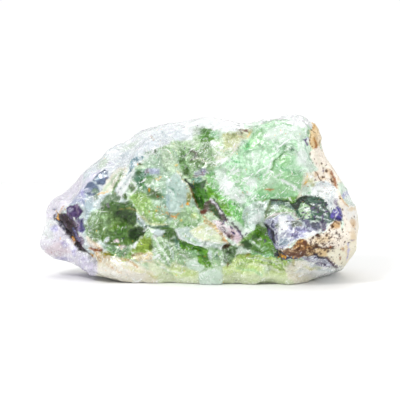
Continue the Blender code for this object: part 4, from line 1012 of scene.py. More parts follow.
# Where the crystal is smooth and glassy.
CALM_SHAPES = (
    Face("band", 4.0, pairs("44,214 88,150 120,132 150,118 196,112 250,116 240,128 196,126 176,138 "
          "148,150 124,166 98,200 84,210 60,208")),
    Face("centre_face", 2.0, pairs("166,180 178,172 188,186 188,198 184,206 176,213 168,213 160,204 "
          "158,186")),
    Face("tip", 3.0, pairs("38,222 54,236 70,250 90,268 60,266 34,256")),
    Face("lower_plane", 2.0, pairs("262,172 304,178 297,198 256,200")),
    Face("v_plane", 2.0, pairs("270,172 276,158 290,154 302,160 300,174")),
    Face("shoulder", 3.0, pairs("262,138 268,128 302,126 304,140")),
    Face("blade", 1.5, pairs("116,190 134,168 138,172 121,200")),
    Face("wedges", 1.5, pairs("175,228 206,221 228,244 202,249 182,241")),
    Face("shelf", 4.0, pairs("96,262 150,262 200,272 230,264 300,274 350,268 350,292 94,292")),
    Face("knob_cloud", 2.0, pairs("277,215 290,215 288,236 276,240")),
)


@dataclass(frozen=True)
class Blotch:
    """A patch of one tint inside the stone, for what the photograph doesn't show."""

    name: str
    tint: Tint
    place: Triple
    half: Triple
    turn_deg: float = 0.0
    soft: float = 0.4
    strength: float = 0.9

    def share(self, points: np.ndarray) -> np.ndarray:
        """How far each point lies inside the patch, from 0 to 1."""
        turn = math.radians(self.turn_deg)
        away = points - np.array(self.place)
        across = away[:, 0] * math.cos(turn) + away[:, 2] * math.sin(turn)
        upward = away[:, 2] * math.cos(turn) - away[:, 0] * math.sin(turn)
        inner = np.stack([across, away[:, 1], upward], axis=1) / np.array(self.half)
        return 1.0 - smooth_step(1.0 - self.soft, 1.0 + self.soft, np.linalg.norm(inner, axis=1))


HIDDEN_SIDES = (
    Blotch("back_frost", Tint.FROST, (-14.0, 8.0, 20.0), (11.0, 8.0, 6.0), 35.0),
    Blotch("back_tip", Tint.LILAC_WHITE, (-27.0, 2.0, 8.0), (6.0, 12.0, 7.0), 0.0),
    Blotch("back_bottle", Tint.BOTTLE, (-6.0, 10.0, 9.0), (6.5, 6.0, 4.5), -20.0),
    Blotch("back_leaf", Tint.LEAF, (13.0, 10.0, 9.0), (6.0, 5.0, 2.4), 20.0),
    Blotch("back_lilac", Tint.LAVENDER, (1.0, 10.0, 16.0), (3.4, 4.0, 6.0), 25.0),
    Blotch("back_plum", Tint.AMETHYST, (-20.0, 6.0, 11.0), (1.6, 5.0, 5.0), -40.0),
    Blotch("back_lime", Tint.LIME_PALE, (4.0, 9.0, 2.0), (14.0, 7.0, 3.0), 4.0),
    Blotch("back_violet", Tint.VIOLET, (20.0, 10.0, 16.0), (3.0, 4.0, 1.6), 30.0),
    Blotch("back_rust", Tint.TAN, (6.0, 11.0, 12.0), (9.0, 3.0, 0.5), 40.0),
)

HIDDEN_RIND = (
    Blotch("rind_end", Tint.BEIGE, (30.6, 2.0, 10.5), (3.6, 11.0, 9.5), 0.0, 0.15),
    Blotch("rind_slope", Tint.SAND, (26.4, 3.0, 21.4), (2.2, 10.0, 5.4), 35.0, 0.15),
    Blotch("rind_peak", Tint.TAN, (22.8, 2.0, 27.2), (1.6, 8.0, 3.8), 5.0, 0.15),
    Blotch("rind_back", Tint.SAND, (25.0, 9.0, 13.0), (3.4, 4.0, 5.0), 20.0, 0.3),
)


@dataclass(frozen=True)
class BrokenFaces:
    """Small flat broken faces over the crystal.

    spacing is how far apart they lie, share how flat each one is pressed, limit the most that
    the skin moves, tilt how far they lean at random and ledge how far they stand in or out.
    snap is how far each one pulls the paint's outlines to its own edges.
    """

    spacing: float
    share: float
    limit: float
    tilt: float
    ledge: float
    snap: float
    seed: int


@dataclass(frozen=True)
class Feather:
    """Streaks that draw the paint's outlines out, each patch of skin in its own direction.

    spacing is how far apart the patches lie in millimetres, reach how far the paint is drawn
    and width how wide a streak is, both in pixels.
    """

    spacing: float
    reach: float
    width: float
    seed: int


@dataclass(frozen=True)
class Groove:
    """A crack, or a raised edge where the depth is below zero, along a line of pixels."""

    name: str
    line: tuple[Pixel, ...]
    width: float
    depth: float


@dataclass(frozen=True)
class Pores:
    """Round pits in the rind: how many, their radius and how deep, with a seed."""

    count: int
    radius: tuple[float, float]
    depth: float
    seed: int


class Skin:
    """The points of the stone's fine skin, in millimetres, which tools push in and out.

    pixels holds where each point falls in the photograph, wandered a little so that the paint's
    outlines are uneven. front is 1 on the side that the photograph shows and 0 behind. aside
    is 1 where the skin faces away to the side.
    """

    coarse_wander: Cloud = Cloud(0.35, 0.9, 3.0)
    fine_wander: Cloud = Cloud(1.1, 0.7, 7.0)
    stray: Cloud = Cloud(0.09, 16.0, 23.0)
    aside_stray: float = 0.8
    back_shift: Pixel = (9.0, -4.0)
    face_wander: float = 0.3
    streak_stretch: float = 0.15
    streak_gap: float = 7.3
    core_share: float = 0.6
    fewest_points: int = 12
    least_rind: float = 0.15
    ridge_gain: float = 1.6

    def __init__(self, mesh: bpy.types.Mesh, view: PhotoView) -> None:
        """Reads the points and normals of the mesh that will be moved."""
        self.mesh = mesh
        self.view = view
        self.points = self._rows(mesh.vertices, "co") / MM
        self.normals = self._rows(mesh.vertex_normals, "vector")
        wander = self.coarse_wander.over(self.points) + self.fine_wander.over(self.points)
        self.pixels = view.pixels_of(self.points) + wander[:, :2]
        _, _, _, forward = view.axes()
        towards = -(self.normals @ forward)
        self.front = np.maximum(smooth_step(8.0, 3.0, self.points[:, 1]),
                                smooth_step(-0.40, -0.12, towards))
        hidden = 1.0 - self.front
        self.aside = 1.0 - smooth_step(0.0, 0.4, towards)
        self.aside *= smooth_step(-7.0, 2.0, self.points[:, 1])
        stray = self.stray.over(self.points)[:, :2]
        self.pixels += stray * np.maximum(hidden, self.aside * self.aside_stray)[:, None]
        self.pixels += np.array(self.back_shift) * hidden[:, None]

    @staticmethod
    def _rows(items: Any, name: str) -> np.ndarray:
        """One three-number property of every item, as rows."""
        rows = np.empty(len(items) * 3)
        items.foreach_get(name, rows)
        return rows.reshape(-1, 3)

    def write(self) -> None:
        """Puts the moved points back in the mesh and reads its new normals."""
        self.mesh.vertices.foreach_set("co", (self.points * MM).ravel())
        self.mesh.update()
        self.normals = self._rows(self.mesh.vertex_normals, "vector")

    def store(self, name: str, values: np.ndarray) -> None:
        """Stores one number for each point."""
        layer = self.mesh.attributes.new(name, "FLOAT", "POINT")
        layer.data.foreach_set("value", values.astype(np.float32))

    def store_colour(self, name: str, colours: np.ndarray) -> None:
        """Stores one colour for each point."""
        layer = self.mesh.color_attributes.new(name, "FLOAT_COLOR", "POINT")
        layer.data.foreach_set("color", colours.astype(np.float32).ravel())

    def seen(self) -> np.ndarray:
        """How squarely each point faces the camera on the near side, from 0 to 1."""
        _, _, _, forward = self.view.axes()
        return smooth_step(0.0, 0.35, -(self.normals @ forward)) * self.front

    def tree(self, points: np.ndarray) -> kdtree.KDTree:
        """A search tree over these points."""
        tree = kdtree.KDTree(len(points))
        for index, point in enumerate(points):
            tree.insert(point, index)
        tree.balance()
        return tree

    def spread(self, spacing: float, rng: np.random.Generator) -> np.ndarray:
        """Points of the skin that lie at least this far apart and cover it."""
        tree = self.tree(self.points)
        free = np.ones(len(self.points), bool)
        chosen = []
        for index in rng.permutation(len(self.points)):
            if free[index]:
                chosen.append(index)
                for _, near, _ in tree.find_range(self.points[index], spacing):
                    free[near] = False
        return self.points[chosen]

    def break_faces(self, faces: BrokenFaces, weight: np.ndarray) -> None:
        """Presses the skin towards small flat faces that lean and stand at random.

        Args:
            faces: the size and the strength of the faces.
            weight: how much each point takes part, from 0 to 1.
        """
        rng = np.random.default_rng(faces.seed)
        centres = self.spread(faces.spacing, rng)
        tree = self.tree(centres)
        wander = Cloud(0.8 / faces.spacing, faces.spacing, 11.0).over(self.points)
        strayed = self.points + wander * self.face_wander
        owner = np.fromiter((tree.find(p)[1] for p in strayed), int, len(strayed))
        count = np.maximum(np.bincount(owner, minlength=len(centres)), 1)[:, None]
        middle = self._sums(owner, self.points, len(centres)) / count
        facing = self._sums(owner, self.normals, len(centres)) / count
        facing += faces.tilt * rng.normal(size=facing.shape)
        facing /= np.linalg.norm(facing, axis=1)[:, None]
        ledge = faces.ledge * rng.normal(size=len(centres))
        height = ((self.points - middle[owner]) * facing[owner]).sum(axis=1) - ledge[owner]
        push = np.clip(height * faces.share, -faces.limit, faces.limit) * weight
        self.points -= push[:, None] * facing[owner]
        across = [np.bincount(owner, self.pixels[:, k], len(centres)) for k in range(2)]
        home = np.stack(across, axis=1) / count
        self.pixels += (home[owner] - self.pixels) * faces.snap
        self.write()

    @staticmethod
    def _sums(owner: np.ndarray, rows: np.ndarray, groups: int) -> np.ndarray:
        """The rows added up within each group."""
        columns = [np.bincount(owner, weights=rows[:, k], minlength=groups) for k in range(3)]
        return np.stack(columns, axis=1)

    def feather(self, feather: Feather) -> None:
        """Draws the paint's outlines out into streaks."""
        rng = np.random.default_rng(feather.seed)
        centres = self.spread(feather.spacing, rng)
        tree = self.tree(centres)
        owner = np.fromiter((tree.find(p)[1] for p in self.points), int, len(self.points))
        turn = rng.uniform(0.0, math.pi, len(centres))[owner]
        along = np.stack([np.cos(turn), np.sin(turn)], axis=1)
        across = (self.pixels * np.stack([-along[:, 1], along[:, 0]], axis=1)).sum(axis=1)
        onward = (self.pixels * along).sum(axis=1)
        place = np.stack([across, onward * self.streak_stretch, owner * self.streak_gap], axis=1)
        drawn = Cloud(0.5 / feather.width, feather.reach, 19.0).over(place)[:, 0]
        self.pixels += along * drawn[:, None]

    def press_marks(self, marks: Iterable[Mark], limit: float) -> None:
        """Flattens and lifts the marks that ask for it, towards the camera.

        Args:
            marks: the marks, in order.
            limit: the most that flattening moves a point.
        """
        seen = self.seen()
        for mark in marks:
            if not mark.lift and not mark.flat:
                continue
            share = mark.shape.share(self.pixels) * seen
            inside = share > self.core_share
            if mark.flat and inside.sum() > self.fewest_points:
                across = np.stack([self.points[:, 0], self.points[:, 2],
                                   np.ones(len(self.points))], axis=1)
                plane = np.linalg.lstsq(across[inside], self.points[inside, 1], rcond=None)[0]
                away = np.clip((across @ plane - self.points[:, 1]) * mark.flat, -limit, limit)
                self.points[:, 1] += away * share
            self.points[:, 1] -= mark.lift * share
        self.write()

    def cut_groove(self, groove: Groove) -> None:
        """Pushes the side that the camera sees in, or out, along a line of pixels."""
        pixel = self.view.sensor / self.view.lens / self.view.pixels * self.view.distance
        gap = line_gap(self.pixels, groove.line) * pixel
        push = groove.depth * np.exp(-((gap / groove.width) ** 2)) * self.seen()
        self.points -= push[:, None] * self.normals
        self.write()

    def sink_pores(self, pores: Pores, weight: np.ndarray) -> None:
        """Sinks round pits in the skin, more of them where the weight is high."""
        rng = np.random.default_rng(pores.seed)
        inside = np.flatnonzero(weight > self.least_rind)
        odds = weight[inside] / weight[inside].sum()
        tree = self.tree(self.points)
        push = np.zeros(len(self.points))
        for index in rng.choice(inside, pores.count, replace=False, p=odds):
            radius = rng.uniform(*pores.radius)
            for _, near, gap in tree.find_range(self.points[index], radius):
                sunk = pores.depth * (1.0 - (gap / radius) ** 2)
                push[near] = max(push[near], sunk * radius / pores.radius[1])
        self.points -= push[:, None] * self.normals
        self.write()

    def roughen(self, size: float, weight: np.ndarray, seed: int) -> None:
        """Pushes every point in or out a little at random."""
        rng = np.random.default_rng(seed)
        push = size * rng.normal(size=len(self.points)) * weight
        self.points += push[:, None] * self.normals
        self.write()

    def ridges(self) -> np.ndarray:
        """How much each point stands on a ridge, from 0 in a hollow to 1 on an edge."""
        ends = np.empty(len(self.mesh.edges) * 2, int)
        self.mesh.edges.foreach_get("vertices", ends)
        first, second = ends.reshape(-1, 2).T
        away = self.points[first] - self.points[second]
        turn = ((self.normals[first] - self.normals[second]) * away).sum(axis=1)
        bend = turn / np.maximum(np.linalg.norm(away, axis=1), 1e-6)
        size = len(self.points)
        total = np.bincount(first, bend, size) + np.bincount(second, bend, size)
        count = np.bincount(first, minlength=size) + np.bincount(second, minlength=size)
        return np.clip(0.5 + total / np.maximum(count, 1) * self.ridge_gain, 0.0, 1.0)


@dataclass
class StonePainter:
    """Paints the skin: bands and blotches all round, then the photographed side's marks."""

    band_tints: tuple[Tint, ...] = (
        Tint.MINT, Tint.MINT_WHITE, Tint.CELADON, Tint.FROST, Tint.MINT_MEDIUM,
        Tint.CELADON_PALE, Tint.TEAL_WHITE, Tint.LIME,
    )
    band_lean: Triple = (0.16, 0.08, 0.22)
    band_folds: tuple[Cloud, ...] = (Cloud(0.12, 4.0, 9.0), Cloud(0.6, 1.2, 13.0))
    rind_wander: Cloud = Cloud(0.3, 1.2, 5.0)
    richness: float = 1.2
    bare_density: tuple[tuple[Layer, float], ...] = (
        (Layer.FROST, 0.35), (Layer.RUST, 0.1), (Layer.DUSK, 0.05),
    )

    def rind_share(self, skin: Skin) -> np.ndarray:
        """How far each point lies under the rind, from 0 to 1."""
        near = np.max([shape.share(skin.pixels) for shape in RIND_SHAPES], axis=0) * skin.front
        return np.maximum(near, self._far_rind(skin) * np.maximum(1.0 - skin.front, skin.aside))

    def _rind_place(self, skin: Skin) -> np.ndarray:
        """The points, wandered a little, for the rind's edge out of the photograph's view."""
        return skin.points + self.rind_wander.over(skin.points)

    def _far_rind(self, skin: Skin) -> np.ndarray:
        """How far each point lies in the rind's hidden patches, from 0 to 1."""
        place = self._rind_place(skin)
        return np.max([blotch.share(place) for blotch in HIDDEN_RIND], axis=0)

    def calm_share(self, skin: Skin) -> np.ndarray:
        """How smooth and glassy the stone is at each point, from 0 to 1."""
        return np.max([shape.share(skin.pixels) for shape in CALM_SHAPES], axis=0) * skin.front

    def paint(self, skin: Skin) -> None:
        """Stores the colour and the layers on the skin."""
        skin.store("calm", self.calm_share(skin))
        skin.store_colour("paint", self._colours(skin))
        for layer, _ in self.bare_density:
            skin.store(layer.value, self.density(skin, layer))
        skin.store(Layer.RIND.value, self.rind_share(skin))
        skin.store("ridge", skin.ridges())

    def _colours(self, skin: Skin) -> np.ndarray:
        """The colour of every point."""
        wandered = skin.points.copy()
        for fold in self.band_folds:
            wandered += fold.over(skin.points)
        place = wandered @ np.array(self.band_lean)
        tints = np.array([tint.linear for tint in self.band_tints])
        step = np.floor(place).astype(int)
        blend = smooth_step(0.35, 0.65, place - step)[:, None]
        colours = tints[step % len(tints)] * (1.0 - blend) + tints[(step + 1) % len(tints)] * blend
        for blotch in HIDDEN_SIDES:
            self._lay(colours, blotch.tint, blotch.share(wandered) * blotch.strength)
        rind_place = self._rind_place(skin)
        for blotch in HIDDEN_RIND:
            self._lay(colours, blotch.tint, blotch.share(rind_place) * blotch.strength)
        far_rind = self._far_rind(skin)
        bare = 1.0 - far_rind * skin.aside
        through = np.maximum(skin.front, 1.0 - far_rind)
        for mark in FRONT_MARKS:
            share = mark.shape.share(skin.pixels) * mark.strength
            reach = skin.front if mark in FRONT_ONLY else through
            self._lay(colours, mark.tint, share * reach * bare)
        return colours ** self.richness

    @staticmethod
    def _lay(colours: np.ndarray, tint: Tint, share: np.ndarray) -> None:
        """Lays a tint over the colours, as thickly as the share says."""
        colours += (np.array(tint.linear) - colours) * share[:, None]

    def density(self, skin: Skin, layer: Layer) -> np.ndarray:
        """How thickly the flecks of a layer lie at every point."""
        density = np.full(len(skin.points), dict(self.bare_density)[layer])
        for sprinkle in SPRINKLES:
            if sprinkle.layer is layer:
                density += (sprinkle.level - density) * sprinkle.shape.share(skin.pixels)
        return density


@dataclass
class RoughStone:
    """The stone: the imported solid's form under a fine broken skin."""

    view: PhotoView
    painter: StonePainter
    node: str = "rough_stone"
    skin_voxel: float = 0.225
    squeeze: float = 0.5
    sharp_edge_deg: float = 28.0
    faces: tuple[BrokenFaces, ...] = (
        BrokenFaces(3.2, 0.90, 0.45, 0.16, 0.12, 0.0, 11),
        BrokenFaces(1.6, 0.90, 0.22, 0.14, 0.05, 0.08, 13),
    )
    small_faces: BrokenFaces = BrokenFaces(0.8, 0.85, 0.08, 0.10, 0.01, 0.12, 17)
    feather: Feather = Feather(3.0, 1.2, 2.0, 41)
    press_limit: float = 0.9
    calm_smoothing: float = 0.75
    rind_grain: float = 0.035
    rind_grain_seed: int = 31
    pore_odds: float = 0.2
    grooves: tuple[Groove, ...] = (
        Groove("tip_crack", ((54, 208), (58, 220), (64, 230), (76, 245), (95, 262)), 0.35, 0.6),
        Groove("tip_notch", ((36, 236), (50, 236)), 0.6, 0.9),
        Groove("blade_back", ((117, 200), (127, 184), (139, 167), (150, 154)), 0.45, 0.4),
        Groove("ridge_foot", ((189, 176), (196, 192), (203, 206), (214, 218)), 0.6, 0.6),
        Groove("v_groove", ((271, 172), (275, 162), (283, 153), (291, 150)), 0.25, 0.25),
        Groove("knob_left", ((258, 220), (264, 238), (270, 250), (280, 262)), 0.7, 0.9),
        Groove("knob_parting", ((291, 202), (296, 212), (300, 219)), 0.4, 0.45),
        Groove("knob_foot", ((282, 263), (304, 263), (318, 268), (334, 271)), 0.6, 0.6),
        Groove("rind_edge", ((311, 130), (310, 146), (311, 160), (322, 180), (338, 196)), 0.3, 0.3),
        Groove("wedge_foot", ((176, 240), (186, 246), (202, 250), (226, 247)), 0.4, 0.45),
        Groove("under_wedge", ((206, 268), (198, 271), (184, 268)), 0.35, 0.35),
    )
    pores: tuple[Pores, ...] = (
        Pores(70, (0.28, 0.46), 0.40, 21),
        Pores(300, (0.22, 0.36), 0.24, 23),
    )

    def build(self) -> bpy.types.Object:
        """Makes the stone's skin and gives back its object."""
        mesh = self._fine_copy()
        skin = Skin(mesh, self.view)
        rind = self.painter.rind_share(skin)
        rough = (1.0 - rind) * (1.0 - self.calm_smoothing * self.painter.calm_share(skin))
        for faces in self.faces:
            skin.break_faces(faces, rough)
        skin.press_marks(FRONT_MARKS, self.press_limit)
        for groove in self.grooves:
            skin.cut_groove(groove)
        skin.break_faces(self.small_faces, rough)
        skin.feather(self.feather)
        skin.roughen(self.rind_grain, rind, self.rind_grain_seed)
        for pores in self.pores:
            odds = rind * (self.pore_odds + self.painter.density(skin, Layer.RUST))
            skin.sink_pores(pores, odds)
        skin.points[:, 2] = np.maximum(skin.points[:, 2], 0.0)
        skin.write()
        self.painter.paint(skin)
        mesh.shade_smooth()
        mesh.set_sharp_from_angle(angle=math.radians(self.sharp_edge_deg))
        stone = bpy.data.objects.new("stone", mesh)
        bpy.context.scene.collection.objects.link(stone)
        return stone

    def _fine_copy(self) -> bpy.types.Mesh:
        """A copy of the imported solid's mesh, merged and given an even fine skin.

        It is remeshed squeezed in depth, so that the side the camera sees gets the finest skin.
        """
        bm = bmesh.new()
        bm.from_mesh(bpy.data.objects[self.node].data)
        bmesh.ops.remove_doubles(bm, verts=bm.verts[:], dist=0.01 * MM)
        bmesh.ops.scale(bm, vec=(1.0, self.squeeze, 1.0), verts=bm.verts[:])
        coarse = bpy.data.meshes.new("stone_coarse")
        bm.to_mesh(coarse)
        holder = bpy.data.objects.new("holder", coarse)
        bpy.context.scene.collection.objects.link(holder)
        modifier = holder.modifiers.new("Even skin", "REMESH")
        modifier.mode = "VOXEL"
        modifier.voxel_size = self.skin_voxel * MM
        graph = bpy.context.evaluated_depsgraph_get()
        mesh = bpy.data.meshes.new_from_object(holder.evaluated_get(graph))
        bpy.data.objects.remove(holder)
        bm.clear()
        bm.from_mesh(mesh)
        bmesh.ops.scale(bm, vec=(1.0, 1.0 / self.squeeze, 1.0), verts=bm.verts[:])
        bm.to_mesh(mesh)
        bm.free()
        mesh.update()
        log.info("skin: %d triangles", triangle_count(mesh))
        return mesh


class Value:
    """A number that a shader works out, which takes part in Python expressions."""

    def __init__(self, nodes: "Nodes", socket: bpy.types.NodeSocket) -> None:
        """Wraps one output socket of a node."""
        self.nodes = nodes
        self.socket = socket

    def _maths(self, operation: str, first: Any, second: Any) -> "Value":
        """A Math node on two values, sockets or plain numbers."""
        node = self.nodes.add("Math", {"operation": operation}, {0: first, 1: second})
        return Value(self.nodes, node.outputs[0])

    def __add__(self, other: Any) -> "Value":
        """self + other."""
        return self._maths("ADD", self, other)

    def __radd__(self, other: Any) -> "Value":
        """other + self."""
        return self._maths("ADD", other, self)

    def __sub__(self, other: Any) -> "Value":
        """self - other."""
        return self._maths("SUBTRACT", self, other)

    def __rsub__(self, other: Any) -> "Value":
        """other - self."""
        return self._maths("SUBTRACT", other, self)

    def __mul__(self, other: Any) -> "Value":
        """self * other."""
        return self._maths("MULTIPLY", self, other)

    def __rmul__(self, other: Any) -> "Value":
        """other * self."""
        return self._maths("MULTIPLY", other, self)

    def sine(self) -> "Value":
        """The sine of this value."""
        return self._maths("SINE", self, 0.0)

    def at_most(self, other: Any) -> "Value":
        """The smaller of self and other."""
        return self._maths("MINIMUM", self, other)

    def at_least(self, other: Any) -> "Value":
        """The larger of self and other."""
        return self._maths("MAXIMUM", self, other)

    def step(self, ramp: Ramp) -> "Value":
        """This value taken along a ramp."""
        node = self.nodes.add("MapRange", {"interpolation_type": "SMOOTHSTEP"},
                              {0: self, 1: ramp.low, 2: ramp.high, 3: ramp.bottom, 4: ramp.top})
        return Value(self.nodes, node.outputs[0])


class Nodes:
    """Adds nodes to the tree of one material, or of the world."""

    def __init__(self, owner: bpy.types.Material | bpy.types.World) -> None:
        """Starts with an empty tree."""
        owner.use_nodes = True
        self.tree = owner.node_tree
        self.tree.nodes.clear()

    def add(self, kind: str, settings: dict[str, Any], sockets: dict[Any, Any]) -> bpy.types.Node:
        """Adds one node.

        Args:
            kind: the node's type, without its ShaderNode prefix.
            settings: its properties, which are set first.
            sockets: the value or the link of each input, by name or by number.

        Returns:
            The new node.
        """
        node = self.tree.nodes.new("ShaderNode" + kind)
        for name, setting in settings.items():
            setattr(node, name, setting)
        for name, given in sockets.items():
            if isinstance(given, Value):
                given = given.socket
            if isinstance(given, bpy.types.NodeSocket):
                self.tree.links.new(given, node.inputs[name])
            else:
                node.inputs[name].default_value = given
        return node

    def vector(self, operation: str, first: Any, second: Any = None, scale: Any = None) -> Any:
        """The vector that a Vector Math node makes."""
        sockets = {0: first}
        if second is not None:
            sockets[1] = second
        if scale is not None:
            sockets["Scale"] = scale
        return self.add("VectorMath", {"operation": operation}, sockets).outputs[0]

    def dot(self, first: Any, second: Any) -> Value:
        """The dot product of two vectors."""
        node = self.add("VectorMath", {"operation": "DOT_PRODUCT"}, {0: first, 1: second})
        return Value(self, node.outputs["Value"])

    def mix(self, share: Any, first: Any, second: Any, blend: str = "MIX") -> Any:
        """The colour between two colours."""
        node = self.add("Mix", {"data_type": "RGBA", "blend_type": blend},
                        {0: share, 6: first, 7: second})
        return node.outputs[2]

    def noise(self, place: Any, per_mm: float, detail: float = 2.0,
              roughness: float = 0.5) -> tuple[Value, Any]:
        """A cloudy noise, as a number and as a colour."""
        node = self.add("TexNoise", {}, {"Vector": place, "Scale": per_mm, "Detail": detail,
                                         "Roughness": roughness})
        return Value(self, node.outputs["Fac"]), node.outputs["Color"]

    def cells(self, place: Any, per_mm: float, feature: str = "F1") -> bpy.types.Node:
        """A pattern of cells."""
        return self.add("TexVoronoi", {"feature": feature}, {"Vector": place, "Scale": per_mm})

    def stored(self, name: str) -> Value:
        """A number stored on the skin."""
        return Value(self, self.add("Attribute", {"attribute_name": name}, {}).outputs["Fac"])


@dataclass(frozen=True)
class Flecks:
    """Ragged flecks: how fine, how far they are drawn out, and which way they lean."""

    per_mm: float
    stretch: Triple
    turn_deg: Triple
    reach: float
    edge: float = 0.05


@dataclass
class StoneFinish:
    """The crystal and its rind, as one material.

    Sizes of patterns are per millimetre. A Ramp turns a pattern into a share or a shade.
    """

    ior: float = 1.75
    transmission: float = 0.15
    subsurface: float = 0.12
    subsurface_radius: Triple = (1.0, 1.4, 1.0)
    specular: float = 0.14
    coat: float = 0.15
    coat_roughness: float = 0.04
    coat_ior: float = 1.5
    polish: Ramp = Ramp(0.0, 0.8, 0.12, 0.45)
    absorption: Colour = (0.72, 0.93, 0.76, 1.0)
    absorption_per_m: float = 30.0
    rind_roughness: float = 0.85

    brightness: Triple = (0.3, 0.5, 0.2)
    bright: Ramp = Ramp(0.45, 0.85)
    light: Ramp = Ramp(0.02, 0.30)

    big_faces: float = 0.5
    middle_faces: float = 0.8
    small_faces: float = 1.3
    # The faces' random lightness is a painted shade for how each face catches the light.
    face_shade: float = 0.76
    big_face_shade: Triple = (0.30, 0.0, 0.0)
    small_face_shade: Triple = (0.0, 0.22, 0.0)
    grain_shade: Ramp = Ramp(0.3, 0.7, 0.88, 1.12)
    fine_shade: Ramp = Ramp(0.30, 0.70, 0.84, 1.16)
    hatch_shade: Ramp = Ramp(0.34, 0.62, 0.86, 1.10)
    scratch_shade: Ramp = Ramp(0.36, 0.62, 0.90, 1.06)
    mean_shade: float = 0.96
    shade_contrast: float = 1.15

    deep_streaks: Ramp = Ramp(0.48, 0.34, 0.0, 0.60)
    haze: Ramp = Ramp(0.50, 0.64, 0.0, 0.7)
    haze_gamma: float = 0.7
    scratch_white: Ramp = Ramp(0.69, 0.74)
    hatch_white: Ramp = Ramp(0.71, 0.76)
    fleck_level: float = 0.69
    crack_cells: float = 0.9
    crack_line: Ramp = Ramp(0.0, 0.05, 1.0, 0.0)
    crack_patches: Ramp = Ramp(0.62, 0.78)
    ripple_count: float = 75.0
    ripple_line: Ramp = Ramp(0.90, 0.99)
    ripple_patches: Ramp = Ramp(0.54, 0.62)
    # How far the ridges take the painted highlight.
    edge_highlight: Ramp = Ramp(0.66, 0.95)
    whitest: float = 0.92

    frost_flecks: Flecks = Flecks(1.0, (1.0, 1.0, 5.0), (0.0, 50.0, 0.0), 0.13)
    shade_flecks: Flecks = Flecks(1.6, (1.0, 1.0, 4.0), (0.0, 35.0, 15.0), 0.0)
    dusk_flecks: Flecks = Flecks(1.8, (1.0, 1.0, 2.4), (0.0, 30.0, 10.0), 0.24)
    rust_flecks: Flecks = Flecks(2.4, (1.0, 1.0, 1.8), (0.0, -20.0, 30.0), 0.24)
    dusk_tone: Ramp = Ramp(0.42, 0.58)
    rust_tone: Ramp = Ramp(0.40, 0.60)

    rind_blotch: Ramp = Ramp(0.58, 0.72, 0.0, 0.40)
    rind_brown: Ramp = Ramp(0.57, 0.64, 0.0, 0.85)
    rind_white: Ramp = Ramp(0.42, 0.34, 0.0, 0.6)
    rind_pit_shade: Ramp = Ramp(0.42, 0.15, 0.0, 0.8)
    # Painted shade in the rind's pits and hollows.
    rind_edge: Ramp = Ramp(0.42, 0.58)

    def __post_init__(self) -> None:
        """Starts the material, and what its patterns share."""
        self.material = bpy.data.materials.new("banded_crystal")
        self.nodes = Nodes(self.material)
        coordinates = self.nodes.add("TexCoord", {}, {}).outputs["Object"]
        self.place = self.nodes.vector("SCALE", coordinates, scale=1.0 / MM)
        self.swirled = self._swirl(self.place, 0.8, 0.9, 3.0)
        self.paint = self.nodes.add("Attribute", {"attribute_name": "paint"}, {}).outputs["Color"]
        self.ridge = self.nodes.stored("ridge")
        self.calm = self.nodes.stored("calm")
        self.frost = self.nodes.stored(Layer.FROST.value)
        self.lightness = self.nodes.dot(self.paint, self.brightness).step(self.light)
        self.big = self.nodes.cells(self.swirled, self.big_faces)
        self.small = self.nodes.cells(self.swirled, self.small_faces)
        middle = self.nodes.cells(self.swirled, self.middle_faces)
        self.hatch = self._hatching(self.big, 1.2, 8.0)
        self.scratch = self._hatching(middle, 3.4, 14.0)
        self.grain, _ = self.nodes.noise(self.place, 2.4, 5.0, 0.7)

    def _swirl(self, place: Any, per_mm: float, reach: float, detail: float) -> Any:
        """The place moved about by a noise, at most about half of reach each way."""
        _, colour = self.nodes.noise(place, per_mm, detail)
        centred = self.nodes.vector("SUBTRACT", colour, (0.5, 0.5, 0.5))
        return self.nodes.vector("ADD", place, self.nodes.vector("SCALE", centred, scale=reach))

    def _drawn_out(self, flecks: Flecks) -> Any:
        """The place turned and squeezed, so that flecks lie along one direction."""
        return self.nodes.add("Mapping", {"vector_type": "TEXTURE"}, {
            "Vector": self.swirled,
            "Rotation": tuple(math.radians(turn) for turn in flecks.turn_deg),
            "Scale": flecks.stretch,
        }).outputs[0]

    def _fleck_share(self, flecks: Flecks, density: Value) -> Value:
        """Where flecks lie, thicker where the density is high."""
        ragged, _ = self.nodes.noise(self._drawn_out(flecks), flecks.per_mm, 4.0, 0.62)
        level = ragged + density * flecks.reach
        return level.step(Ramp(self.fleck_level, self.fleck_level + flecks.edge))

    def _leaning_faces(self, cell: bpy.types.Node) -> Value:
        """Heights of small flat faces that each lean their own way."""
        away = self.nodes.vector("SUBTRACT", self.swirled, cell.outputs["Position"])
        lean = self.nodes.vector("SUBTRACT", cell.outputs["Color"], (0.5, 0.5, 0.5))
        return self.nodes.dot(away, lean)

    def _hatching(self, cell: bpy.types.Node, per_mm: float, stretch: float) -> Value:
        """A noise drawn out into streaks, which lie a different way in each cell."""
        turn = self.nodes.vector("SCALE", cell.outputs["Color"], scale=2.0 * math.pi)
        turned = self.nodes.add("VectorRotate", {"rotation_type": "EULER_XYZ"},
                                {"Vector": self.place, "Rotation": turn}).outputs[0]
        drawn = self.nodes.vector("MULTIPLY", turned, (1.0, 1.0, 1.0 / stretch))
        level, _ = self.nodes.noise(drawn, per_mm, 2.0, 0.5)
        return level

    def _shade(self) -> Value:
        """How light each small face, grain and scratch is, about 1 on average."""
        nodes = self.nodes
        # Each face is lighter or darker at random: a painted shade for how each face catches the light.
        big_shade = nodes.dot(self.big.outputs["Color"], self.big_face_shade)
        small_shade = nodes.dot(self.small.outputs["Color"], self.small_face_shade)
        fine, _ = nodes.noise(self.place, 5.0, 2.0, 0.6)
        shade = (big_shade + self.face_shade + small_shade) * self.grain.step(self.grain_shade)
        shade = shade * fine.step(self.fine_shade)
        shade = shade * self.hatch.step(self.hatch_shade) * self.scratch.step(self.scratch_shade)
        bright = nodes.dot(self.paint, self.brightness).step(self.bright)
        contrast = (self.shade_contrast - bright * 0.6) * (1.0 - self.calm * 0.5)
        return (shade - self.mean_shade) * contrast + self.mean_shade

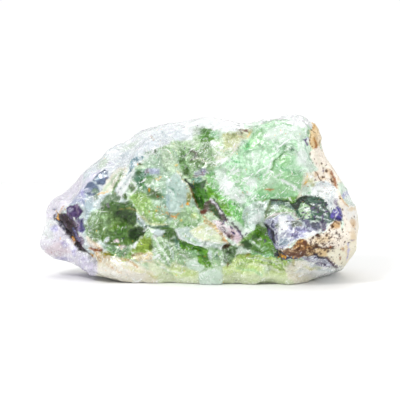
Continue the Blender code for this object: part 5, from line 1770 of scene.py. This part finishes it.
    def _body(self) -> Any:
        """The paint with deeper streaks and paler haze in it, light or dark by the shade."""
        nodes = self.nodes
        deep = nodes.mix(1.0, self.paint, self.paint, "MULTIPLY")
        streaks, _ = nodes.noise(self._drawn_out(self.shade_flecks), self.shade_flecks.per_mm,
                                 4.0, 0.65)
        colour = nodes.mix(streaks.step(self.deep_streaks), self.paint, deep)
        pale = nodes.add("Gamma", {}, {"Color": self.paint, "Gamma": self.haze_gamma}).outputs[0]
        haze = self.hatch.step(self.haze) * (self.lightness * 0.5 + 0.5)
        return nodes.vector("SCALE", nodes.mix(haze, colour, pale), scale=self._shade())

    def _white(self) -> Value:
        """Where white scratches and flecks lie."""
        frost = self.frost + self.lightness * 0.5 - 0.5
        white = (self.scratch + frost * 0.13).step(self.scratch_white)
        white = white.at_least((self.hatch + frost * 0.10).step(self.hatch_white))
        return white.at_least(self._fleck_share(self.frost_flecks, frost))

    def _cracks(self) -> Value:
        """Where thin cracks run, in patches."""
        edge = self.nodes.cells(self.swirled, self.crack_cells, "DISTANCE_TO_EDGE")
        line = Value(self.nodes, edge.outputs["Distance"]).step(self.crack_line)
        patchy, _ = self.nodes.noise(self.place, 0.7, 2.0)
        return line * (patchy + self.frost * 0.3).step(self.crack_patches)

    def _ripples(self) -> Value:
        """Where the curved lines of shell-like breaks run, in patches."""
        arc, _ = self.nodes.noise(self.place, 0.26, 2.0, 0.35)
        ripples = (arc * self.ripple_count).sine().step(self.ripple_line)
        return ripples * (self.hatch + self.frost * 0.15 - self.calm * 0.05).step(
            self.ripple_patches)

    def _frost_and_highlight(self, white: Value, cracks: Value) -> Value:
        """How white the crystal is, from 0 to 1, with a painted highlight on its ridges, less so where its
        colour is dark.
        """
        frost_and_highlight = (white * 0.85).at_least(cracks * 0.7).at_least(self._ripples() * 0.6)
        # Painted highlight: the ridges are whitened.
        frost_and_highlight = (frost_and_highlight + self.ridge.step(self.edge_highlight) * 0.35).at_most(self.whitest)
        return frost_and_highlight * (self.lightness * 0.75 + 0.25)

    def _flecked(self, colour: Any) -> Any:
        """The colour with its dark purple and its brown and orange flecks."""
        nodes = self.nodes
        tone, _ = nodes.noise(self.place, 1.4, 1.0)
        dusk = self._fleck_share(self.dusk_flecks, nodes.stored(Layer.DUSK.value))
        dark = nodes.mix(tone.step(self.dusk_tone), Tint.INK_VIOLET.linear, Tint.AMETHYST.linear)
        colour = nodes.mix(dusk * 0.95, colour, dark)
        rust = self._fleck_share(self.rust_flecks, nodes.stored(Layer.RUST.value))
        brown = nodes.mix(tone.step(self.rust_tone), Tint.RUST.linear, Tint.ORANGE.linear)
        return nodes.mix(rust * 0.97, colour, brown)

    def _crystal(self) -> bpy.types.NodeSocket:
        """The crystal's shader."""
        nodes = self.nodes
        white = self._white()
        cracks = self._cracks()
        frost_and_highlight = self._frost_and_highlight(white, cracks)
        colour = self._flecked(nodes.mix(frost_and_highlight, self._body(), Tint.SNOW.linear))
        height = (
            self._leaning_faces(self.big) * 0.16
            + self._leaning_faces(self.small) * 0.08
            + self.grain * 0.015
            + white * 0.02
            - cracks * 0.04
        )
        bump = nodes.add("Bump", {}, {"Height": height, "Distance": MM, "Strength": 1.0})
        shader = nodes.add("BsdfPrincipled", {}, {
            "Base Color": colour,
            "Roughness": frost_and_highlight.step(self.polish),
            "IOR": self.ior,
            "Specular IOR Level": self.specular,
            "Transmission Weight": self.transmission,
            "Subsurface Weight": self.subsurface,
            "Subsurface Radius": self.subsurface_radius,
            "Subsurface Scale": 1.0 * MM,
            "Coat Weight": self.coat,
            "Coat Roughness": self.coat_roughness,
            "Coat IOR": self.coat_ior,
            "Normal": bump.outputs[0],
        })
        return shader.outputs[0]

    def _rind(self) -> bpy.types.NodeSocket:
        """The rind's shader: matt, porous and brown."""
        nodes = self.nodes
        speckle, _ = nodes.noise(self.place, 2.4, 6.0, 0.75)
        blotch, _ = nodes.noise(self.swirled, 0.8, 3.0, 0.6)
        rust = nodes.stored(Layer.RUST.value)
        tan = (blotch + rust * 0.1).step(self.rind_blotch)
        brown = (speckle + rust * 0.24 - 0.05).step(self.rind_brown)
        colour = nodes.mix(tan, self.paint, Tint.TAN.linear)
        colour = nodes.mix(brown, colour, Tint.COCOA.linear)
        colour = nodes.mix(speckle.step(self.rind_white), colour, Tint.SNOW.linear)
        # Painted shade: darker brown in the rind's pits and hollows.
        colour = nodes.mix(self.ridge.step(self.rind_pit_shade), colour, Tint.COCOA.linear)
        bump = nodes.add("Bump", {}, {"Height": speckle * 0.2, "Distance": MM, "Strength": 1.0})
        shader = nodes.add("BsdfPrincipled", {}, {
            "Base Color": colour,
            "Roughness": self.rind_roughness,
            "Normal": bump.outputs[0],
        })
        return shader.outputs[0]

    def build(self) -> bpy.types.Material:
        """Joins the crystal and the rind, and gives back the material."""
        nodes = self.nodes
        fringe, _ = nodes.noise(self.place, 2.0, 3.0, 0.6)
        covered = nodes.stored(Layer.RIND.value) + (fringe - 0.5) * 0.5
        surface = nodes.add("MixShader", {}, {
            0: covered.step(self.rind_edge),
            1: self._crystal(),
            2: self._rind(),
        })
        volume = nodes.add("VolumeAbsorption", {}, {
            "Color": self.absorption,
            "Density": self.absorption_per_m,
        })
        nodes.add("OutputMaterial", {}, {
            "Surface": surface.outputs[0],
            "Volume": volume.outputs[0],
        })
        return self.material


@dataclass(frozen=True)
class Lamp:
    """A soft square light: its place, its width, its power in watts and its colour."""

    name: str
    place: Triple
    width: float
    watts: float
    colour: Triple = (1.0, 1.0, 1.0)


@dataclass(frozen=True)
class Studio:
    """The pale floor, the white surroundings and the lights."""

    floor_radius: float = 260.0
    eye_level: float = 1.02
    side: float = 0.46
    overhead: float = 1.1
    floor_colour: Colour = (0.92, 0.92, 0.92, 1.0)
    floor_roughness: float = 0.9
    floor_specular: float = 0.1
    aim: Triple = (0.0, 0.0, 14.0)
    lamps: tuple[Lamp, ...] = (
        Lamp("key", (-150.0, -190.0, 240.0), 60.0, 0.40),
        Lamp("fill", (200.0, -200.0, 110.0), 60.0, 0.12),
        Lamp("rim", (60.0, 240.0, 200.0), 90.0, 0.08),
    )

    def build(self) -> None:
        """Adds the floor, the world and the lamps."""
        self._floor()
        self._world()
        for lamp in self.lamps:
            self._lamp(lamp)
        bpy.context.scene.view_settings.view_transform = "Standard"

    def _floor(self) -> None:
        """Adds a round pale floor."""
        bm = bmesh.new()
        bmesh.ops.create_circle(bm, cap_ends=True, segments=96, radius=self.floor_radius * MM)
        mesh = bpy.data.meshes.new("floor")
        bm.to_mesh(mesh)
        bm.free()
        floor = bpy.data.objects.new("floor", mesh)
        bpy.context.scene.collection.objects.link(floor)
        material = bpy.data.materials.new("pale_floor")
        nodes = Nodes(material)
        shader = nodes.add("BsdfPrincipled", {}, {
            "Base Color": self.floor_colour,
            "Roughness": self.floor_roughness,
            "Specular IOR Level": self.floor_specular,
        })
        nodes.add("OutputMaterial", {}, {"Surface": shader.outputs[0]})
        mesh.materials.append(material)

    def _world(self) -> None:
        """White all round at eye level, dimmer above it, and bright overhead."""
        world = bpy.data.worlds.new("surroundings")
        bpy.context.scene.world = world
        nodes = Nodes(world)
        direction = nodes.add("TexCoord", {}, {}).outputs["Generated"]
        upward = nodes.dot(direction, (0.0, 0.0, 1.0))
        strength = (
            upward.step(Ramp(0.10, 0.30, self.eye_level, self.side))
            + upward.step(Ramp(0.60, 0.90, 0.0, self.overhead))
        )
        sky = nodes.add("Background", {}, {"Color": (1.0, 1.0, 1.0, 1.0), "Strength": strength})
        nodes.add("OutputWorld", {}, {"Surface": sky.outputs[0]})

    def _lamp(self, lamp: Lamp) -> None:
        """Adds one lamp, aimed at the stone."""
        data = bpy.data.lights.new(lamp.name, "AREA")
        data.energy = lamp.watts
        data.size = lamp.width * MM
        data.color = lamp.colour
        light = bpy.data.objects.new(lamp.name, data)
        light.location = Vector(lamp.place) * MM
        aim = Vector(self.aim) * MM - light.location
        light.rotation_euler = aim.to_track_quat("-Z", "Y").to_euler()
        bpy.context.scene.collection.objects.link(light)


def corners(bounds: tuple[Vector, Vector]) -> list[list[float]]:
    """The two corners of a box as plain lists."""
    return [list(bounds[0]), list(bounds[1])]


def main() -> None:
    """Builds the stone, its finish and the studio."""
    logging.basicConfig(level=logging.INFO, format="%(name)s: %(message)s")
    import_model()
    view = PhotoView()
    stone = RoughStone(view, StonePainter())
    piece = stone.build()
    piece.data.materials.append(StoneFinish().build())
    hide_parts(stone.node)
    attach(piece, "root")
    log.info("stone: %d triangles", triangle_count(piece.data))
    Studio().build()
    view.add_camera()


if __name__ == "__main__":
    main()
